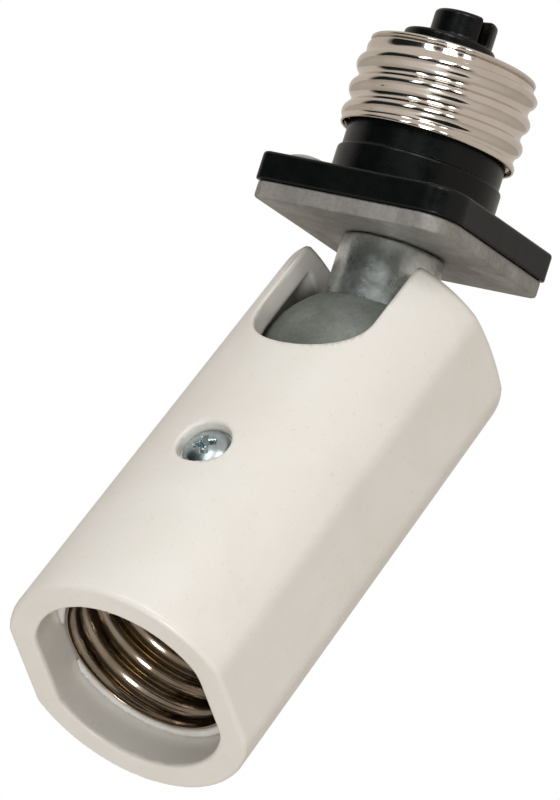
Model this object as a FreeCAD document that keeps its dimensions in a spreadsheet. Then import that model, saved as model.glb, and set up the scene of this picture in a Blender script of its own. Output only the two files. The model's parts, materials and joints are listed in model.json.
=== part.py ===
import FreeCAD, Part
import math
import os

import Sketcher

# Swivel adapter for a heat lamp, hung from a ceiling or cord lampholder.
# Frame: +Z is up the axis of the upper screw base, the origin is on that axis at the
# lower edge of the screw shell, X is the tilt axis and the casing tips toward -Y.
# Three bodies: the base (screw base, flange, plate), the stem with its ball, which
# swivels about Z, and the lamp holder, which tilts about X through the ball centre.

doc = FreeCAD.newDocument("heat_lamp_fixture")
sheet = doc.addObject("Spreadsheet::Sheet", "Dims")

DIMENSIONS = [
    # screw base
    ("thread_pitch", 3.629),
    ("thread_depth", 0.8),
    ("shell_wall", 0.3),
    ("base_crest_rad", 13.1),
    ("base_shell_len", 13.2),
    # black insulator
    ("core_rad", 11.9),
    ("shoulder_rad", 8.0),
    ("shoulder_top", 15.6),
    ("collar_rad", 6.7),
    ("collar_x", -1.26),
    ("collar_y", 0.31),
    ("nose_rad", 4.65),
    ("nose_top", 19.6),
    ("nose_slot", 1.8),
    ("nose_slot_angle", 118.8),
    ("neck_upper_rad", 11.6),
    ("neck_lower_rad", 12.1),
    ("neck_step", -3.3),
    ("flange_top", -8.3),
    ("flange_bottom", -12.5),
    ("flange_half_long", 22.9),
    ("flange_half_short", 23.3),
    ("flange_tip_round", 1.6),
    ("flange_side_round", 5.0),
    ("plate_inset", 0.5),
    ("plate_angle", 47.4),
    ("cavity_rad", 9.3),
    ("cavity_top", -4.0),
    ("wire_hole_rad", 3.0),
    # zinc plate and the screws that hold it
    ("plate_bottom", -15.1),
    ("journal_rad", 6.0),
    ("running_gap", 0.05),
    ("screw_offset", 15.5),
    ("plate_screw_rad", 1.7),
    ("plate_head_rad", 3.2),
    ("plate_head_height", 1.3),
    ("lug_inner", 8.1),
    ("lug_outer", 9.1),
    # stem and ball
    ("stem_rad", 7.6),
    ("stem_shoulder", -15.4),
    ("stem_end", -28.0),
    ("journal_top", -8.3),
    ("groove_rad", 5.2),
    ("ring_bottom", -10.3),
    ("ring_thick", 0.9),
    ("washer_top", -10.35),
    ("washer_thick", 0.9),
    ("ball_rad", 14.5),
    ("ball_centre", -36.7),
    ("ball_half_flat", 13.4),
    ("ball_slot_half", 3.0),
    # casing, measured from the ball centre along its own axis
    ("tilt_angle", 30.0),
    ("casing_rad", 19.2),
    ("casing_half_flat", 17.9),
    ("casing_mouth", -61.5),
    ("casing_blank_top", 17.0),
    ("casing_draft", 0.8),
    ("dome_apex", 16.6),
    ("dome_rad", 40.6),
    ("crease_round", 1.6),
    ("bore_rad", 14.9),
    ("bore_half_flat", 13.75),
    ("bore_top", 10.5),
    ("seat_rad", 14.8),
    ("slot_half", 9.3),
    ("casing_screw_height", -30.5),
    ("counterbore_rad", 4.0),
    ("counterbore_floor", 16.4),
    ("screw_hole_rad", 2.2),
    # parts inside the casing
    ("insert_rad", 14.8),
    ("insert_half_flat", 13.65),
    ("cup_top", -10.0),
    ("cup_bottom", -17.5),
    ("spring_wire_rad", 0.8),
    ("spring_mean_rad", 11.4),
    ("spring_pitch", 2.4),
    ("spring_plate_top", -24.0),
    ("core_top", -25.0),
    ("core_floor", -36.0),
    ("core_mouth", -55.8),
    ("terminal_floor", -32.0),
    ("lamp_crest_rad", 13.45),
    ("pocket_rad", 13.6),
    ("casing_screw_rad", 2.0),
    ("casing_head_rad", 3.6),
    ("casing_head_height", 1.8),
    ("nut_half", 3.5),
    ("nut_thick", 3.0),
    ("nut_near", 8.6),
    ("contact_thick", 0.5),
    ("rivet_rad", 1.25),
    ("lead_rad", 0.9),
    ("lead_offset", 1.4),
]


class Size:
    """A length that carries its value and its formula in the spreadsheet."""

    def __init__(self, value, text):
        self.value = value
        self.text = text

    def combined(self, other, sign):
        other = as_size(other)
        results = {
            "+": self.value + other.value,
            "-": self.value - other.value,
            "*": self.value * other.value,
            "/": self.value / other.value if other.value else 0.0,
        }
        return Size(results[sign], "(%s %s %s)" % (self.text, sign, other.text))

    def __add__(self, other):
        return self.combined(other, "+")

    def __sub__(self, other):
        return self.combined(other, "-")

    def __mul__(self, other):
        return self.combined(other, "*")

    def __truediv__(self, other):
        return self.combined(other, "/")

    def __neg__(self):
        return Size(-self.value, "(-1 * %s)" % self.text)


def as_size(number):
    if isinstance(number, Size):
        return number
    return Size(float(number), repr(float(number)))


D = {}
for row, (alias, number) in enumerate(DIMENSIONS, start=1):
    sheet.set("A%d" % row, alias)
    sheet.set("B%d" % row, str(number))
    sheet.setAlias("B%d" % row, alias)
    D[alias] = Size(number, "Dims." + alias)
doc.recompute()


def bind(obj, prop, size):
    """Set a property to a size and tie it to the spreadsheet."""
    obj.setExpression(prop, as_size(size).text)


def new_body(name):
    body = doc.addObject("PartDesign::Body", name)
    body.Label = name
    return body


def plane_of(body, role):
    for feature in body.Origin.OriginFeatures:
        if feature.Role == role:
            return feature
    raise ValueError(role)


def new_sketch(body, name, role, offset=None):
    """A sketch on one of the body's own planes, moved along the plane's normal."""
    sketch = body.newObject("Sketcher::SketchObject", name)
    sketch.AttachmentSupport = [(plane_of(body, role), "")]
    sketch.MapMode = "FlatFace"
    if offset is not None:
        bind(sketch, "AttachmentOffset.Base.z", offset)
    return sketch


def hold(sketch, kind, geometry, vertex, size):
    """Fix one coordinate of a vertex, measured from the sketch origin."""
    size = as_size(size)
    if abs(size.value) < 1e-9:
        axis = -2 if kind == "DistanceX" else -1
        sketch.addConstraint(Sketcher.Constraint("PointOnObject", geometry, vertex, axis))
        return
    index = sketch.addConstraint(
        Sketcher.Constraint(kind, -1, 1, geometry, vertex, size.value))
    sketch.setExpression("Constraints[%d]" % index, size.text)


def draw_polygon(sketch, points):
    """A closed outline of straight lines through points given as pairs of sizes."""
    corners = [FreeCAD.Vector(as_size(x).value, as_size(y).value, 0) for x, y in points]
    count = len(corners)
    first = sketch.GeometryCount
    for i in range(count):
        sketch.addGeometry(Part.LineSegment(corners[i], corners[(i + 1) % count]), False)
    for i in range(count):
        following = first + (i + 1) % count
        sketch.addConstraint(Sketcher.Constraint("Coincident", first + i, 2, following, 1))
    for i, (x, y) in enumerate(points):
        hold(sketch, "DistanceX", first + i, 1, x)
        hold(sketch, "DistanceY", first + i, 1, y)


def draw_circle(sketch, radius, x=0, y=0):
    radius = as_size(radius)
    centre = FreeCAD.Vector(as_size(x).value, as_size(y).value, 0)
    circle = sketch.addGeometry(
        Part.Circle(centre, FreeCAD.Vector(0, 0, 1), radius.value), False)
    hold(sketch, "DistanceX", circle, 3, x)
    hold(sketch, "DistanceY", circle, 3, y)
    index = sketch.addConstraint(Sketcher.Constraint("Radius", circle, radius.value))
    sketch.setExpression("Constraints[%d]" % index, radius.text)


def draw_double_d(sketch, radius, half_flat):
    """Two arcs about the origin joined by flats at x = +half_flat and -half_flat."""
    radius = as_size(radius)
    half_flat = as_size(half_flat)
    normal = FreeCAD.Vector(0, 0, 1)
    centre = FreeCAD.Vector(0, 0, 0)
    angle = math.acos(half_flat.value / radius.value)
    x = half_flat.value
    y = radius.value * math.sin(angle)
    circle = Part.Circle(centre, normal, radius.value)
    back = sketch.addGeometry(Part.ArcOfCircle(circle, angle, math.pi - angle), False)
    left = sketch.addGeometry(
        Part.LineSegment(FreeCAD.Vector(-x, y, 0), FreeCAD.Vector(-x, -y, 0)), False)
    front = sketch.addGeometry(
        Part.ArcOfCircle(circle, math.pi + angle, 2 * math.pi - angle), False)
    right = sketch.addGeometry(
        Part.LineSegment(FreeCAD.Vector(x, -y, 0), FreeCAD.Vector(x, y, 0)), False)
    for first, second in ((back, left), (left, front), (front, right), (right, back)):
        sketch.addConstraint(Sketcher.Constraint("Coincident", first, 2, second, 1))
    for arc in (back, front):
        sketch.addConstraint(Sketcher.Constraint("Coincident", arc, 3, -1, 1))
        index = sketch.addConstraint(Sketcher.Constraint("Radius", arc, radius.value))
        sketch.setExpression("Constraints[%d]" % index, radius.text)
    for line, side in ((left, -half_flat), (right, half_flat)):
        sketch.addConstraint(Sketcher.Constraint("Vertical", line))
        hold(sketch, "DistanceX", line, 1, side)


def revolve(body, name, points, kind="PartDesign::Revolution"):
    """Turn an outline of (radius, height) pairs about the body's Z axis."""
    sketch = new_sketch(body, name + "_profile", "XZ_Plane")
    draw_polygon(sketch, points)
    feature = body.newObject(kind, name)
    feature.Profile = sketch
    feature.ReferenceAxis = (sketch, ["V_Axis"])
    feature.Angle = 360
    return feature


def extrude(body, name, sketch, length, kind="PartDesign::Pad", backward=False):
    feature = body.newObject(kind, name)
    feature.Profile = sketch
    bind(feature, "Length", length)
    feature.Reversed = backward
    return feature


def edges_where(feature, test):
    """Names of the feature's edges whose middle passes a test."""
    names = []
    for i, edge in enumerate(feature.Shape.Edges, start=1):
        if test(edge, edge.CenterOfMass):
            names.append("Edge%d" % i)
    return names


def round_edges(body, name, feature, radius, test):
    doc.recompute()
    fillet = body.newObject("PartDesign::Fillet", name)
    fillet.Base = (feature, edges_where(feature, test))
    bind(fillet, "Radius", radius)
    return fillet


def is_upright(edge):
    ends = [vertex.Point for vertex in edge.Vertexes]
    if len(ends) < 2:
        return False
    span = ends[1] - ends[0]
    return abs(span.z) > 0.9 * span.Length > 0.9


def tilted(obj):
    """Put a holder part in place: origin on the ball centre, tipped about X."""
    obj.Placement = FreeCAD.Placement(
        FreeCAD.Vector(0, 0, D["ball_centre"].value),
        FreeCAD.Rotation(FreeCAD.Vector(-1, 0, 0), D["tilt_angle"].value))
    bind(obj, "Placement.Base.z", D["ball_centre"])
    bind(obj, "Placement.Rotation.Angle", D["tilt_angle"])


def turned(obj, further=0):
    """Turn a base part by the angle between the flange and the tilt axis."""
    angle = D["plate_angle"] + further
    obj.Placement = FreeCAD.Placement(
        FreeCAD.Vector(0, 0, 0), FreeCAD.Rotation(FreeCAD.Vector(0, 0, 1), angle.value))
    bind(obj, "Placement.Rotation.Angle", angle)


def cylinder(name, radius, height, x=0, y=0, z=0, axis="Z"):
    obj = doc.addObject("Part::Cylinder", name)
    bind(obj, "Radius", radius)
    bind(obj, "Height", height)
    turns = {"Z": FreeCAD.Rotation(), "X": FreeCAD.Rotation(FreeCAD.Vector(0, 1, 0), 90),
             "Y": FreeCAD.Rotation(FreeCAD.Vector(1, 0, 0), -90)}
    obj.Placement = FreeCAD.Placement(FreeCAD.Vector(0, 0, 0), turns[axis])
    bind(obj, "Placement.Base.x", x)
    bind(obj, "Placement.Base.y", y)
    bind(obj, "Placement.Base.z", z)
    return obj


def block(name, low, size):
    obj = doc.addObject("Part::Box", name)
    for prop, value in zip(("Length", "Width", "Height"), size):
        bind(obj, prop, value)
    for prop, value in zip("xyz", low):
        bind(obj, "Placement.Base." + prop, value)
    return obj


def fuse(name, shapes):
    obj = doc.addObject("Part::MultiFuse", name)
    obj.Shapes = shapes
    return obj


def cut(name, base, tool):
    obj = doc.addObject("Part::Cut", name)
    obj.Base = base
    obj.Tool = tool
    return obj


def group(name, parts):
    obj = doc.addObject("Part::Compound", name)
    obj.Links = parts
    obj.Label = name
    return obj


def mirrored(name, source):
    """The same part on the other side of the YZ plane."""
    obj = doc.addObject("Part::Mirroring", name)
    obj.Source = source
    obj.Normal = FreeCAD.Vector(1, 0, 0)
    return obj


def rolled_wall(sketch, crest, start, turns, below, above):
    """A thin wall rolled into a knuckle thread, as a closed sketch outline.

    The crests and roots are equal tangent arcs. The wall starts with a plain edge of
    length below, runs up through the given number of half turns and ends with a plain
    edge of length above.
    """
    pitch = D["thread_pitch"].value
    depth = D["thread_depth"].value
    wall = D["shell_wall"].value
    half = pitch / 2
    arc_rad = (half * half + depth * depth) / (4 * depth)
    middle = crest - depth / 2
    lean = math.asin((arc_rad - depth / 2) / arc_rad)
    outer = []
    inner = []
    for i in range(turns + 1):
        side = 1 if i % 2 == 0 else -1
        height = start + i * half
        outer.append(FreeCAD.Vector(middle, height, 0))
        inner.append(FreeCAD.Vector(middle - wall * math.sin(lean),
                                    height + side * wall * math.cos(lean), 0))
    pieces = []
    for chain, offset in ((outer, 0.0), (inner, wall)):
        for i in range(turns):
            bulge = depth / 2 if i % 2 == 0 else -depth / 2
            height = start + (i + 0.5) * half
            summit = FreeCAD.Vector(middle + bulge - offset, height, 0)
            pieces.append(Part.Arc(chain[i], summit, chain[i + 1]))
    low = FreeCAD.Vector(0, -below, 0)
    high = FreeCAD.Vector(0, above, 0)
    thick = FreeCAD.Vector(wall, 0, 0)
    ends = []
    for point, reach in ((0, low), (-1, high)):
        foot = outer[point] + reach
        ends.append((outer[point], foot))
        ends.append((foot, foot - thick))
        ends.append((foot - thick, inner[point]))
    for first, second in ends:
        pieces.append(Part.LineSegment(first, second))
    for piece in pieces:
        sketch.addGeometry(piece, False)
    for i in range(sketch.GeometryCount):
        sketch.addConstraint(Sketcher.Constraint("Block", i))


# ---------------------------------------------------------------- upper screw base

shell = new_body("screw_base_shell")
shell_wall_sketch = new_sketch(shell, "shell_wall_profile", "XZ_Plane")
rolled_wall(shell_wall_sketch, D["base_crest_rad"].value, 1.3, 6, 1.3, 1.0)
shell_roll = shell.newObject("PartDesign::Revolution", "shell_roll")
shell_roll.Profile = shell_wall_sketch
shell_roll.ReferenceAxis = (shell_wall_sketch, ["V_Axis"])
shell_roll.Angle = 360
shell_lip_outer = D["base_crest_rad"] - D["thread_depth"] / 2
revolve(shell, "shell_lip", [
    (shell_lip_outer, D["base_shell_len"] - 0.3),
    (shell_lip_outer, D["base_shell_len"]),
    (D["shoulder_rad"] + 0.1, D["base_shell_len"]),
    (D["shoulder_rad"] + 0.1, D["base_shell_len"] - 0.3),
])

insulator = new_body("base_insulator")
revolve(insulator, "insulator_body", [
    (0, D["flange_bottom"]),
    (D["neck_lower_rad"], D["flange_bottom"]),
    (D["neck_lower_rad"], D["neck_step"]),
    (D["neck_upper_rad"], D["neck_step"]),
    (D["neck_upper_rad"], D["base_shell_len"] - 0.3),
    (D["shoulder_rad"], D["base_shell_len"] - 0.3),
    (D["shoulder_rad"], D["base_shell_len"]),
    (D["nose_rad"], D["base_shell_len"]),
    (D["nose_rad"], D["nose_top"]),
    (0, D["nose_top"]),
])
# the collar round the foot of the nose sits a little off the screw axis
collar_sketch = new_sketch(insulator, "nose_collar_outline", "XY_Plane", D["base_shell_len"] - 0.2)
draw_circle(collar_sketch, D["collar_rad"], D["collar_x"], D["collar_y"])
extrude(insulator, "nose_collar", collar_sketch, D["shoulder_top"] - D["base_shell_len"] + 0.2)
flange_sketch = new_sketch(insulator, "flange_outline", "XY_Plane", D["flange_bottom"])
draw_polygon(flange_sketch, [
    (D["flange_half_long"], 0),
    (0, D["flange_half_short"]),
    (-D["flange_half_long"], 0),
    (0, -D["flange_half_short"]),
])
flange = extrude(insulator, "flange", flange_sketch, D["flange_top"] - D["flange_bottom"])
far_out = 20.0
flange_sides = round_edges(
    insulator, "flange_side_rounds", flange, D["flange_side_round"],
    lambda edge, mid: is_upright(edge) and abs(mid.y) > far_out)
flange_tips = round_edges(
    insulator, "flange_tip_rounds", flange_sides, D["flange_tip_round"],
    lambda edge, mid: is_upright(edge) and abs(mid.x) > far_out)
revolve(insulator, "swivel_cavity", [
    (0, D["flange_bottom"]),
    (D["cavity_rad"], D["flange_bottom"]),
    (D["cavity_rad"], D["cavity_top"]),
    (D["wire_hole_rad"], D["cavity_top"]),
    (D["wire_hole_rad"], D["shoulder_top"] - 1.0),
    (0, D["shoulder_top"] - 1.0),
], "PartDesign::Groove")
nose_slot_sketch = new_sketch(insulator, "nose_slot_outline", "XY_Plane", D["nose_top"])
nose_slot_sketch.AttachmentOffset = FreeCAD.Placement(
    FreeCAD.Vector(0, 0, D["nose_top"].value),
    FreeCAD.Rotation(FreeCAD.Vector(0, 0, 1), D["nose_slot_angle"].value))
bind(nose_slot_sketch, "AttachmentOffset.Rotation.Angle", D["nose_slot_angle"])
draw_polygon(nose_slot_sketch, [
    (-D["nose_rad"] - 1, -D["nose_slot"] / 2),
    (D["nose_rad"] + 1, -D["nose_slot"] / 2),
    (D["nose_rad"] + 1, D["nose_slot"] / 2),
    (-D["nose_rad"] - 1, D["nose_slot"] / 2),
])
extrude(insulator, "nose_slot", nose_slot_sketch, D["nose_top"] - D["shoulder_top"],
        "PartDesign::Pocket")
tongue_hole_sketch = new_sketch(insulator, "tongue_hole_outline", "XY_Plane",
                                D["shoulder_top"] + 0.65)
draw_circle(tongue_hole_sketch, 1.3)
extrude(insulator, "tongue_hole", tongue_hole_sketch, 1.85, "PartDesign::Pocket")
flange_screw_sketch = new_sketch(insulator, "flange_screw_holes", "XY_Plane", D["flange_top"])
for side in (-D["screw_offset"], D["screw_offset"]):
    draw_circle(flange_screw_sketch, D["plate_screw_rad"] + 0.2, side, 0)
extrude(insulator, "flange_screw_pocket", flange_screw_sketch,
        D["flange_top"] - D["flange_bottom"], "PartDesign::Pocket")
turned(insulator)

# centre contact: a folded tongue in the nose slot, riveted through the nose floor
tongue = new_body("base_contact_tongue")
tongue_sketch = new_sketch(tongue, "tongue_outline", "XZ_Plane", -D["contact_thick"] * 1.2)
tongue_half = 2.6
draw_polygon(tongue_sketch, [
    (-tongue_half, D["shoulder_top"] + 0.6),
    (tongue_half, D["shoulder_top"] + 0.6),
    (tongue_half, D["nose_top"] - 0.4),
    (tongue_half - 0.8, D["nose_top"] + 0.3),
    (-tongue_half + 0.8, D["nose_top"] + 0.3),
    (-tongue_half, D["nose_top"] - 0.4),
])
extrude(tongue, "tongue_strip", tongue_sketch, D["contact_thick"] * 2.4)
turned(tongue, D["nose_slot_angle"])

rivet = new_body("base_contact_rivet")
revolve(rivet, "rivet_body", [
    (0, D["shoulder_top"] - 2.0),
    (2.0, D["shoulder_top"] - 2.0),
    (2.0, D["shoulder_top"] - 1.2),
    (1.2, D["shoulder_top"] - 1.2),
    (1.2, D["shoulder_top"] + 0.6),
    (0, D["shoulder_top"] + 0.6),
])

# ---------------------------------------------------------------- zinc plate, screws

plate = new_body("base_plate")
plate_sketch = new_sketch(plate, "plate_outline", "XY_Plane", D["plate_bottom"])
draw_polygon(plate_sketch, [
    (D["flange_half_long"] - D["plate_inset"], 0),
    (0, D["flange_half_short"] - D["plate_inset"]),
    (-D["flange_half_long"] + D["plate_inset"], 0),
    (0, -D["flange_half_short"] + D["plate_inset"]),
])
plate_pad = extrude(plate, "plate_blank", plate_sketch, D["flange_bottom"] - D["plate_bottom"])
plate_sides = round_edges(
    plate, "plate_side_rounds", plate_pad, D["flange_side_round"],
    lambda edge, mid: is_upright(edge) and abs(mid.y) > far_out)
plate_tips = round_edges(
    plate, "plate_tip_rounds", plate_sides, D["flange_tip_round"],
    lambda edge, mid: is_upright(edge) and abs(mid.x) > far_out)
journal_sketch = new_sketch(plate, "journal_outline", "XY_Plane", D["flange_bottom"])
draw_circle(journal_sketch, D["journal_rad"] + D["running_gap"])
extrude(plate, "journal_hole", journal_sketch, D["flange_bottom"] - D["plate_bottom"],
        "PartDesign::Pocket")
blind_sketch = new_sketch(plate, "blind_holes", "XY_Plane", D["flange_bottom"])
for side in (-D["screw_offset"], D["screw_offset"]):
    draw_circle(blind_sketch, D["plate_screw_rad"], side, 0)
extrude(plate, "blind_screw_holes", blind_sketch, 1.9, "PartDesign::Pocket")
lug_sketch = new_sketch(plate, "stop_lug_outline", "XY_Plane", D["flange_bottom"])
draw_polygon(lug_sketch, [
    (-0.9, D["lug_inner"]),
    (0.9, D["lug_inner"]),
    (0.9, D["lug_outer"] - 0.1),
    (-0.9, D["lug_outer"] - 0.1),
])
extrude(plate, "stop_lug", lug_sketch, D["washer_top"] - D["flange_bottom"])
turned(plate)

screw_bodies = []
for name in ("plate_screw", "plate_screw_far"):
    screw = new_body(name + "_solid")
    revolve(screw, name + "_form", [
        (0, D["flange_bottom"] - 1.8),
        (D["plate_screw_rad"] - 0.05, D["flange_bottom"] - 1.8),
        (D["plate_screw_rad"] - 0.05, D["flange_top"]),
        (D["plate_head_rad"], D["flange_top"]),
        (D["plate_head_rad"], D["flange_top"] + D["plate_head_height"] * 0.4),
        (D["plate_head_rad"] * 0.55, D["flange_top"] + D["plate_head_height"]),
        (0, D["flange_top"] + D["plate_head_height"]),
    ])
    screw_bodies.append(screw)
bind(screw_bodies[0], "Placement.Base.x", D["screw_offset"])
bind(screw_bodies[1], "Placement.Base.x", -D["screw_offset"])
plate_screws = group("plate_screws", screw_bodies)
turned(plate_screws)

# ---------------------------------------------------------------- swivelling stem

stem = new_body("swivel_stem")
revolve(stem, "stem_form", [
    (D["wire_hole_rad"], D["stem_end"]),
    (D["stem_rad"], D["stem_end"]),
    (D["stem_rad"], D["stem_shoulder"]),
    (D["journal_rad"], D["stem_shoulder"]),
    (D["journal_rad"], D["ring_bottom"]),
    (D["groove_rad"], D["ring_bottom"]),
    (D["groove_rad"], D["ring_bottom"] + D["ring_thick"]),
    (D["journal_rad"], D["ring_bottom"] + D["ring_thick"]),
    (D["journal_rad"], D["journal_top"]),
    (D["wire_hole_rad"], D["journal_top"]),
])

ball = doc.addObject("Part::Sphere", "ball_blank")
bind(ball, "Radius", D["ball_rad"])
trim = D["ball_rad"] * 2
flat_right = block("ball_trim_right", (D["ball_half_flat"], -D["ball_rad"], -D["ball_rad"]),
                   (5, trim, trim))
flat_left = block("ball_trim_left", (-D["ball_half_flat"] - 5, -D["ball_rad"], -D["ball_rad"]),
                  (5, trim, trim))
stem_seat_low = D["stem_end"] - D["ball_centre"]
stem_seat = cylinder("stem_seat", D["stem_rad"], 20, 0, 0, stem_seat_low)
ball_bore = cylinder("ball_bore", D["wire_hole_rad"], 20, 0, 0, -1)
lead_slot = cylinder("lead_slot", 20, D["ball_slot_half"] * 2, -D["ball_slot_half"], 0, 0, "X")
# the sector runs from straight down to most of the way forward, for the full tilt
lead_slot.Angle = 80
lead_slot.Placement.Rotation = FreeCAD.Rotation(
    FreeCAD.Vector(0, -math.sin(math.radians(75)), -math.cos(math.radians(75))),
    FreeCAD.Vector(0, math.cos(math.radians(75)), -math.sin(math.radians(75))),
    FreeCAD.Vector(1, 0, 0), "ZXY")
# the leads bend in a round chamber on the tilt axis
lead_chamber = cylinder("lead_chamber", 3.4, D["ball_slot_half"] * 2, -D["ball_slot_half"], 0, 0, "X")
ball_tools = fuse("ball_tools", [flat_right, flat_left, stem_seat, ball_bore, lead_slot,
                                 lead_chamber])
pivot_ball = cut("pivot_ball", ball, ball_tools)
pivot_ball.Label = "pivot_ball"
bind(pivot_ball, "Placement.Base.z", D["ball_centre"])

stop_washer = new_body("stop_washer")
stop_sketch = new_sketch(stop_washer, "stop_washer_outline", "XY_Plane",
                         D["washer_top"] - D["washer_thick"])
draw_circle(stop_sketch, 7.6)
draw_circle(stop_sketch, D["journal_rad"] + 0.05)
stop_ring = extrude(stop_washer, "stop_ring", stop_sketch, D["washer_thick"])
tab_sketch = new_sketch(stop_washer, "stop_tab_outline", "XY_Plane",
                        D["washer_top"] - D["washer_thick"])
draw_polygon(tab_sketch, [
    (-1.0, -D["lug_outer"]),
    (1.0, -D["lug_outer"]),
    (1.0, -D["journal_rad"] - 0.5),
    (-1.0, -D["journal_rad"] - 0.5),
])
extrude(stop_washer, "stop_tab", tab_sketch, D["washer_thick"])
turned(stop_washer)

wave_height = D["washer_top"] - D["washer_thick"] - D["flange_bottom"]
wave_washer = new_body("wave_washer")
revolve(wave_washer, "wave_ring", [
    (D["journal_rad"] + 0.2, D["flange_bottom"] + 0.05),
    (D["journal_rad"] + 1.6, D["flange_bottom"] + wave_height - 0.55),
    (D["journal_rad"] + 1.6, D["flange_bottom"] + wave_height - 0.05),
    (D["journal_rad"] + 0.2, D["flange_bottom"] + 0.55),
])

retaining_ring = new_body("retaining_ring")
ring_sketch = new_sketch(retaining_ring, "ring_outline", "XY_Plane", D["ring_bottom"])
draw_circle(ring_sketch, 7.7)
draw_circle(ring_sketch, D["groove_rad"])
ring_pad = extrude(retaining_ring, "ring_blank", ring_sketch, D["ring_thick"])
gap_sketch = new_sketch(retaining_ring, "ring_gap_outline", "XY_Plane",
                        D["ring_bottom"] + D["ring_thick"])
draw_polygon(gap_sketch, [(-2.5, 3.0), (2.5, 3.0), (2.5, 9.0), (-2.5, 9.0)])
extrude(retaining_ring, "ring_gap", gap_sketch, D["ring_thick"], "PartDesign::Pocket")

# ---------------------------------------------------------------- lamp holder

casing = new_body("casing")
casing_sketch = new_sketch(casing, "casing_outline", "XY_Plane", D["casing_mouth"])
draw_double_d(casing_sketch, D["casing_rad"], D["casing_half_flat"])
casing_pad = extrude(casing, "casing_blank", casing_sketch,
                     D["casing_blank_top"] - D["casing_mouth"])
bind(casing_pad, "TaperAngle", -D["casing_draft"])
casing_creases = round_edges(casing, "crease_rounds", casing_pad, D["crease_round"],
                             lambda edge, mid: is_upright(edge))
# the top is a shallow dome: everything outside the dome is turned away
dome_sketch = new_sketch(casing, "dome_profile", "XZ_Plane")
dome_centre = D["dome_apex"].value - D["dome_rad"].value
dome_reach = 25.0
dome_edge = dome_centre + math.sqrt(D["dome_rad"].value ** 2 - dome_reach ** 2)
dome_top = 25.0
dome_outline = [
    Part.Arc(
        FreeCAD.Vector(0, D["dome_apex"].value, 0),
        FreeCAD.Vector(dome_reach / 2,
                       dome_centre + math.sqrt(D["dome_rad"].value ** 2 - dome_reach ** 2 / 4), 0),
        FreeCAD.Vector(dome_reach, dome_edge, 0)),
    Part.LineSegment(FreeCAD.Vector(dome_reach, dome_edge, 0),
                     FreeCAD.Vector(dome_reach, dome_top, 0)),
    Part.LineSegment(FreeCAD.Vector(dome_reach, dome_top, 0), FreeCAD.Vector(0, dome_top, 0)),
    Part.LineSegment(FreeCAD.Vector(0, dome_top, 0), FreeCAD.Vector(0, D["dome_apex"].value, 0)),
]
for piece in dome_outline:
    dome_sketch.addGeometry(piece, False)
for i in range(len(dome_outline)):
    dome_sketch.addConstraint(Sketcher.Constraint("Block", i))
dome = casing.newObject("PartDesign::Groove", "dome")
dome.Profile = dome_sketch
dome.ReferenceAxis = (dome_sketch, ["V_Axis"])
dome.Angle = 360
bore_sketch = new_sketch(casing, "bore_outline", "XY_Plane", D["bore_top"])
draw_double_d(bore_sketch, D["bore_rad"], D["bore_half_flat"])
extrude(casing, "bore", bore_sketch, D["bore_top"] - D["casing_mouth"], "PartDesign::Pocket")
# the ball bears on a spherical seat under the dome
seat_sketch = new_sketch(casing, "seat_profile", "XZ_Plane")
seat = D["seat_rad"].value
seat_sketch.addGeometry(Part.ArcOfCircle(
    Part.Circle(FreeCAD.Vector(0, 0, 0), FreeCAD.Vector(0, 0, 1), seat), 0, math.pi / 2), False)
seat_sketch.addGeometry(
    Part.LineSegment(FreeCAD.Vector(0, seat, 0), FreeCAD.Vector(0, 0, 0)), False)
seat_sketch.addGeometry(
    Part.LineSegment(FreeCAD.Vector(0, 0, 0), FreeCAD.Vector(seat, 0, 0)), False)
seat_sketch.addConstraint(Sketcher.Constraint("Coincident", 0, 2, 1, 1))
seat_sketch.addConstraint(Sketcher.Constraint("Coincident", 1, 2, 2, 1))
seat_sketch.addConstraint(Sketcher.Constraint("Coincident", 2, 2, 0, 1))
seat_sketch.addConstraint(Sketcher.Constraint("Coincident", 0, 3, -1, 1))
seat_sketch.addConstraint(Sketcher.Constraint("Coincident", 1, 2, -1, 1))
seat_sketch.addConstraint(Sketcher.Constraint("Vertical", 1))
seat_sketch.addConstraint(Sketcher.Constraint("Horizontal", 2))
seat_index = seat_sketch.addConstraint(Sketcher.Constraint("Radius", 0, seat))
seat_sketch.setExpression("Constraints[%d]" % seat_index, D["seat_rad"].text)
seat_groove = casing.newObject("PartDesign::Groove", "ball_seat")
seat_groove.Profile = seat_sketch
seat_groove.ReferenceAxis = (seat_sketch, ["V_Axis"])
seat_groove.Angle = 360
# the stem comes out of a hole on the axis that runs into the front slot
hole_sketch = new_sketch(casing, "stem_hole_outline", "XY_Plane", D["casing_blank_top"])
draw_circle(hole_sketch, D["slot_half"])
extrude(casing, "stem_hole", hole_sketch, D["casing_blank_top"], "PartDesign::Pocket")
slot_sketch = new_sketch(casing, "slot_outline", "XZ_Plane", D["casing_rad"] + 1)
half = D["slot_half"].value
slot_top = D["casing_blank_top"].value
slot_sketch.addGeometry(Part.ArcOfCircle(
    Part.Circle(FreeCAD.Vector(0, 0, 0), FreeCAD.Vector(0, 0, 1), half),
    math.pi, 2 * math.pi), False)
slot_corners = [FreeCAD.Vector(half, 0, 0), FreeCAD.Vector(half, slot_top, 0),
                FreeCAD.Vector(-half, slot_top, 0), FreeCAD.Vector(-half, 0, 0)]
for start, end in zip(slot_corners, slot_corners[1:]):
    slot_sketch.addGeometry(Part.LineSegment(start, end), False)
for first, second in ((0, 1), (1, 2), (2, 3), (3, 0)):
    slot_sketch.addConstraint(Sketcher.Constraint("Coincident", first, 2, second, 1))
slot_sketch.addConstraint(Sketcher.Constraint("Coincident", 0, 3, -1, 1))
slot_sketch.addConstraint(Sketcher.Constraint("Vertical", 1))
slot_sketch.addConstraint(Sketcher.Constraint("Vertical", 3))
slot_sketch.addConstraint(Sketcher.Constraint("Horizontal", 2))
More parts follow.
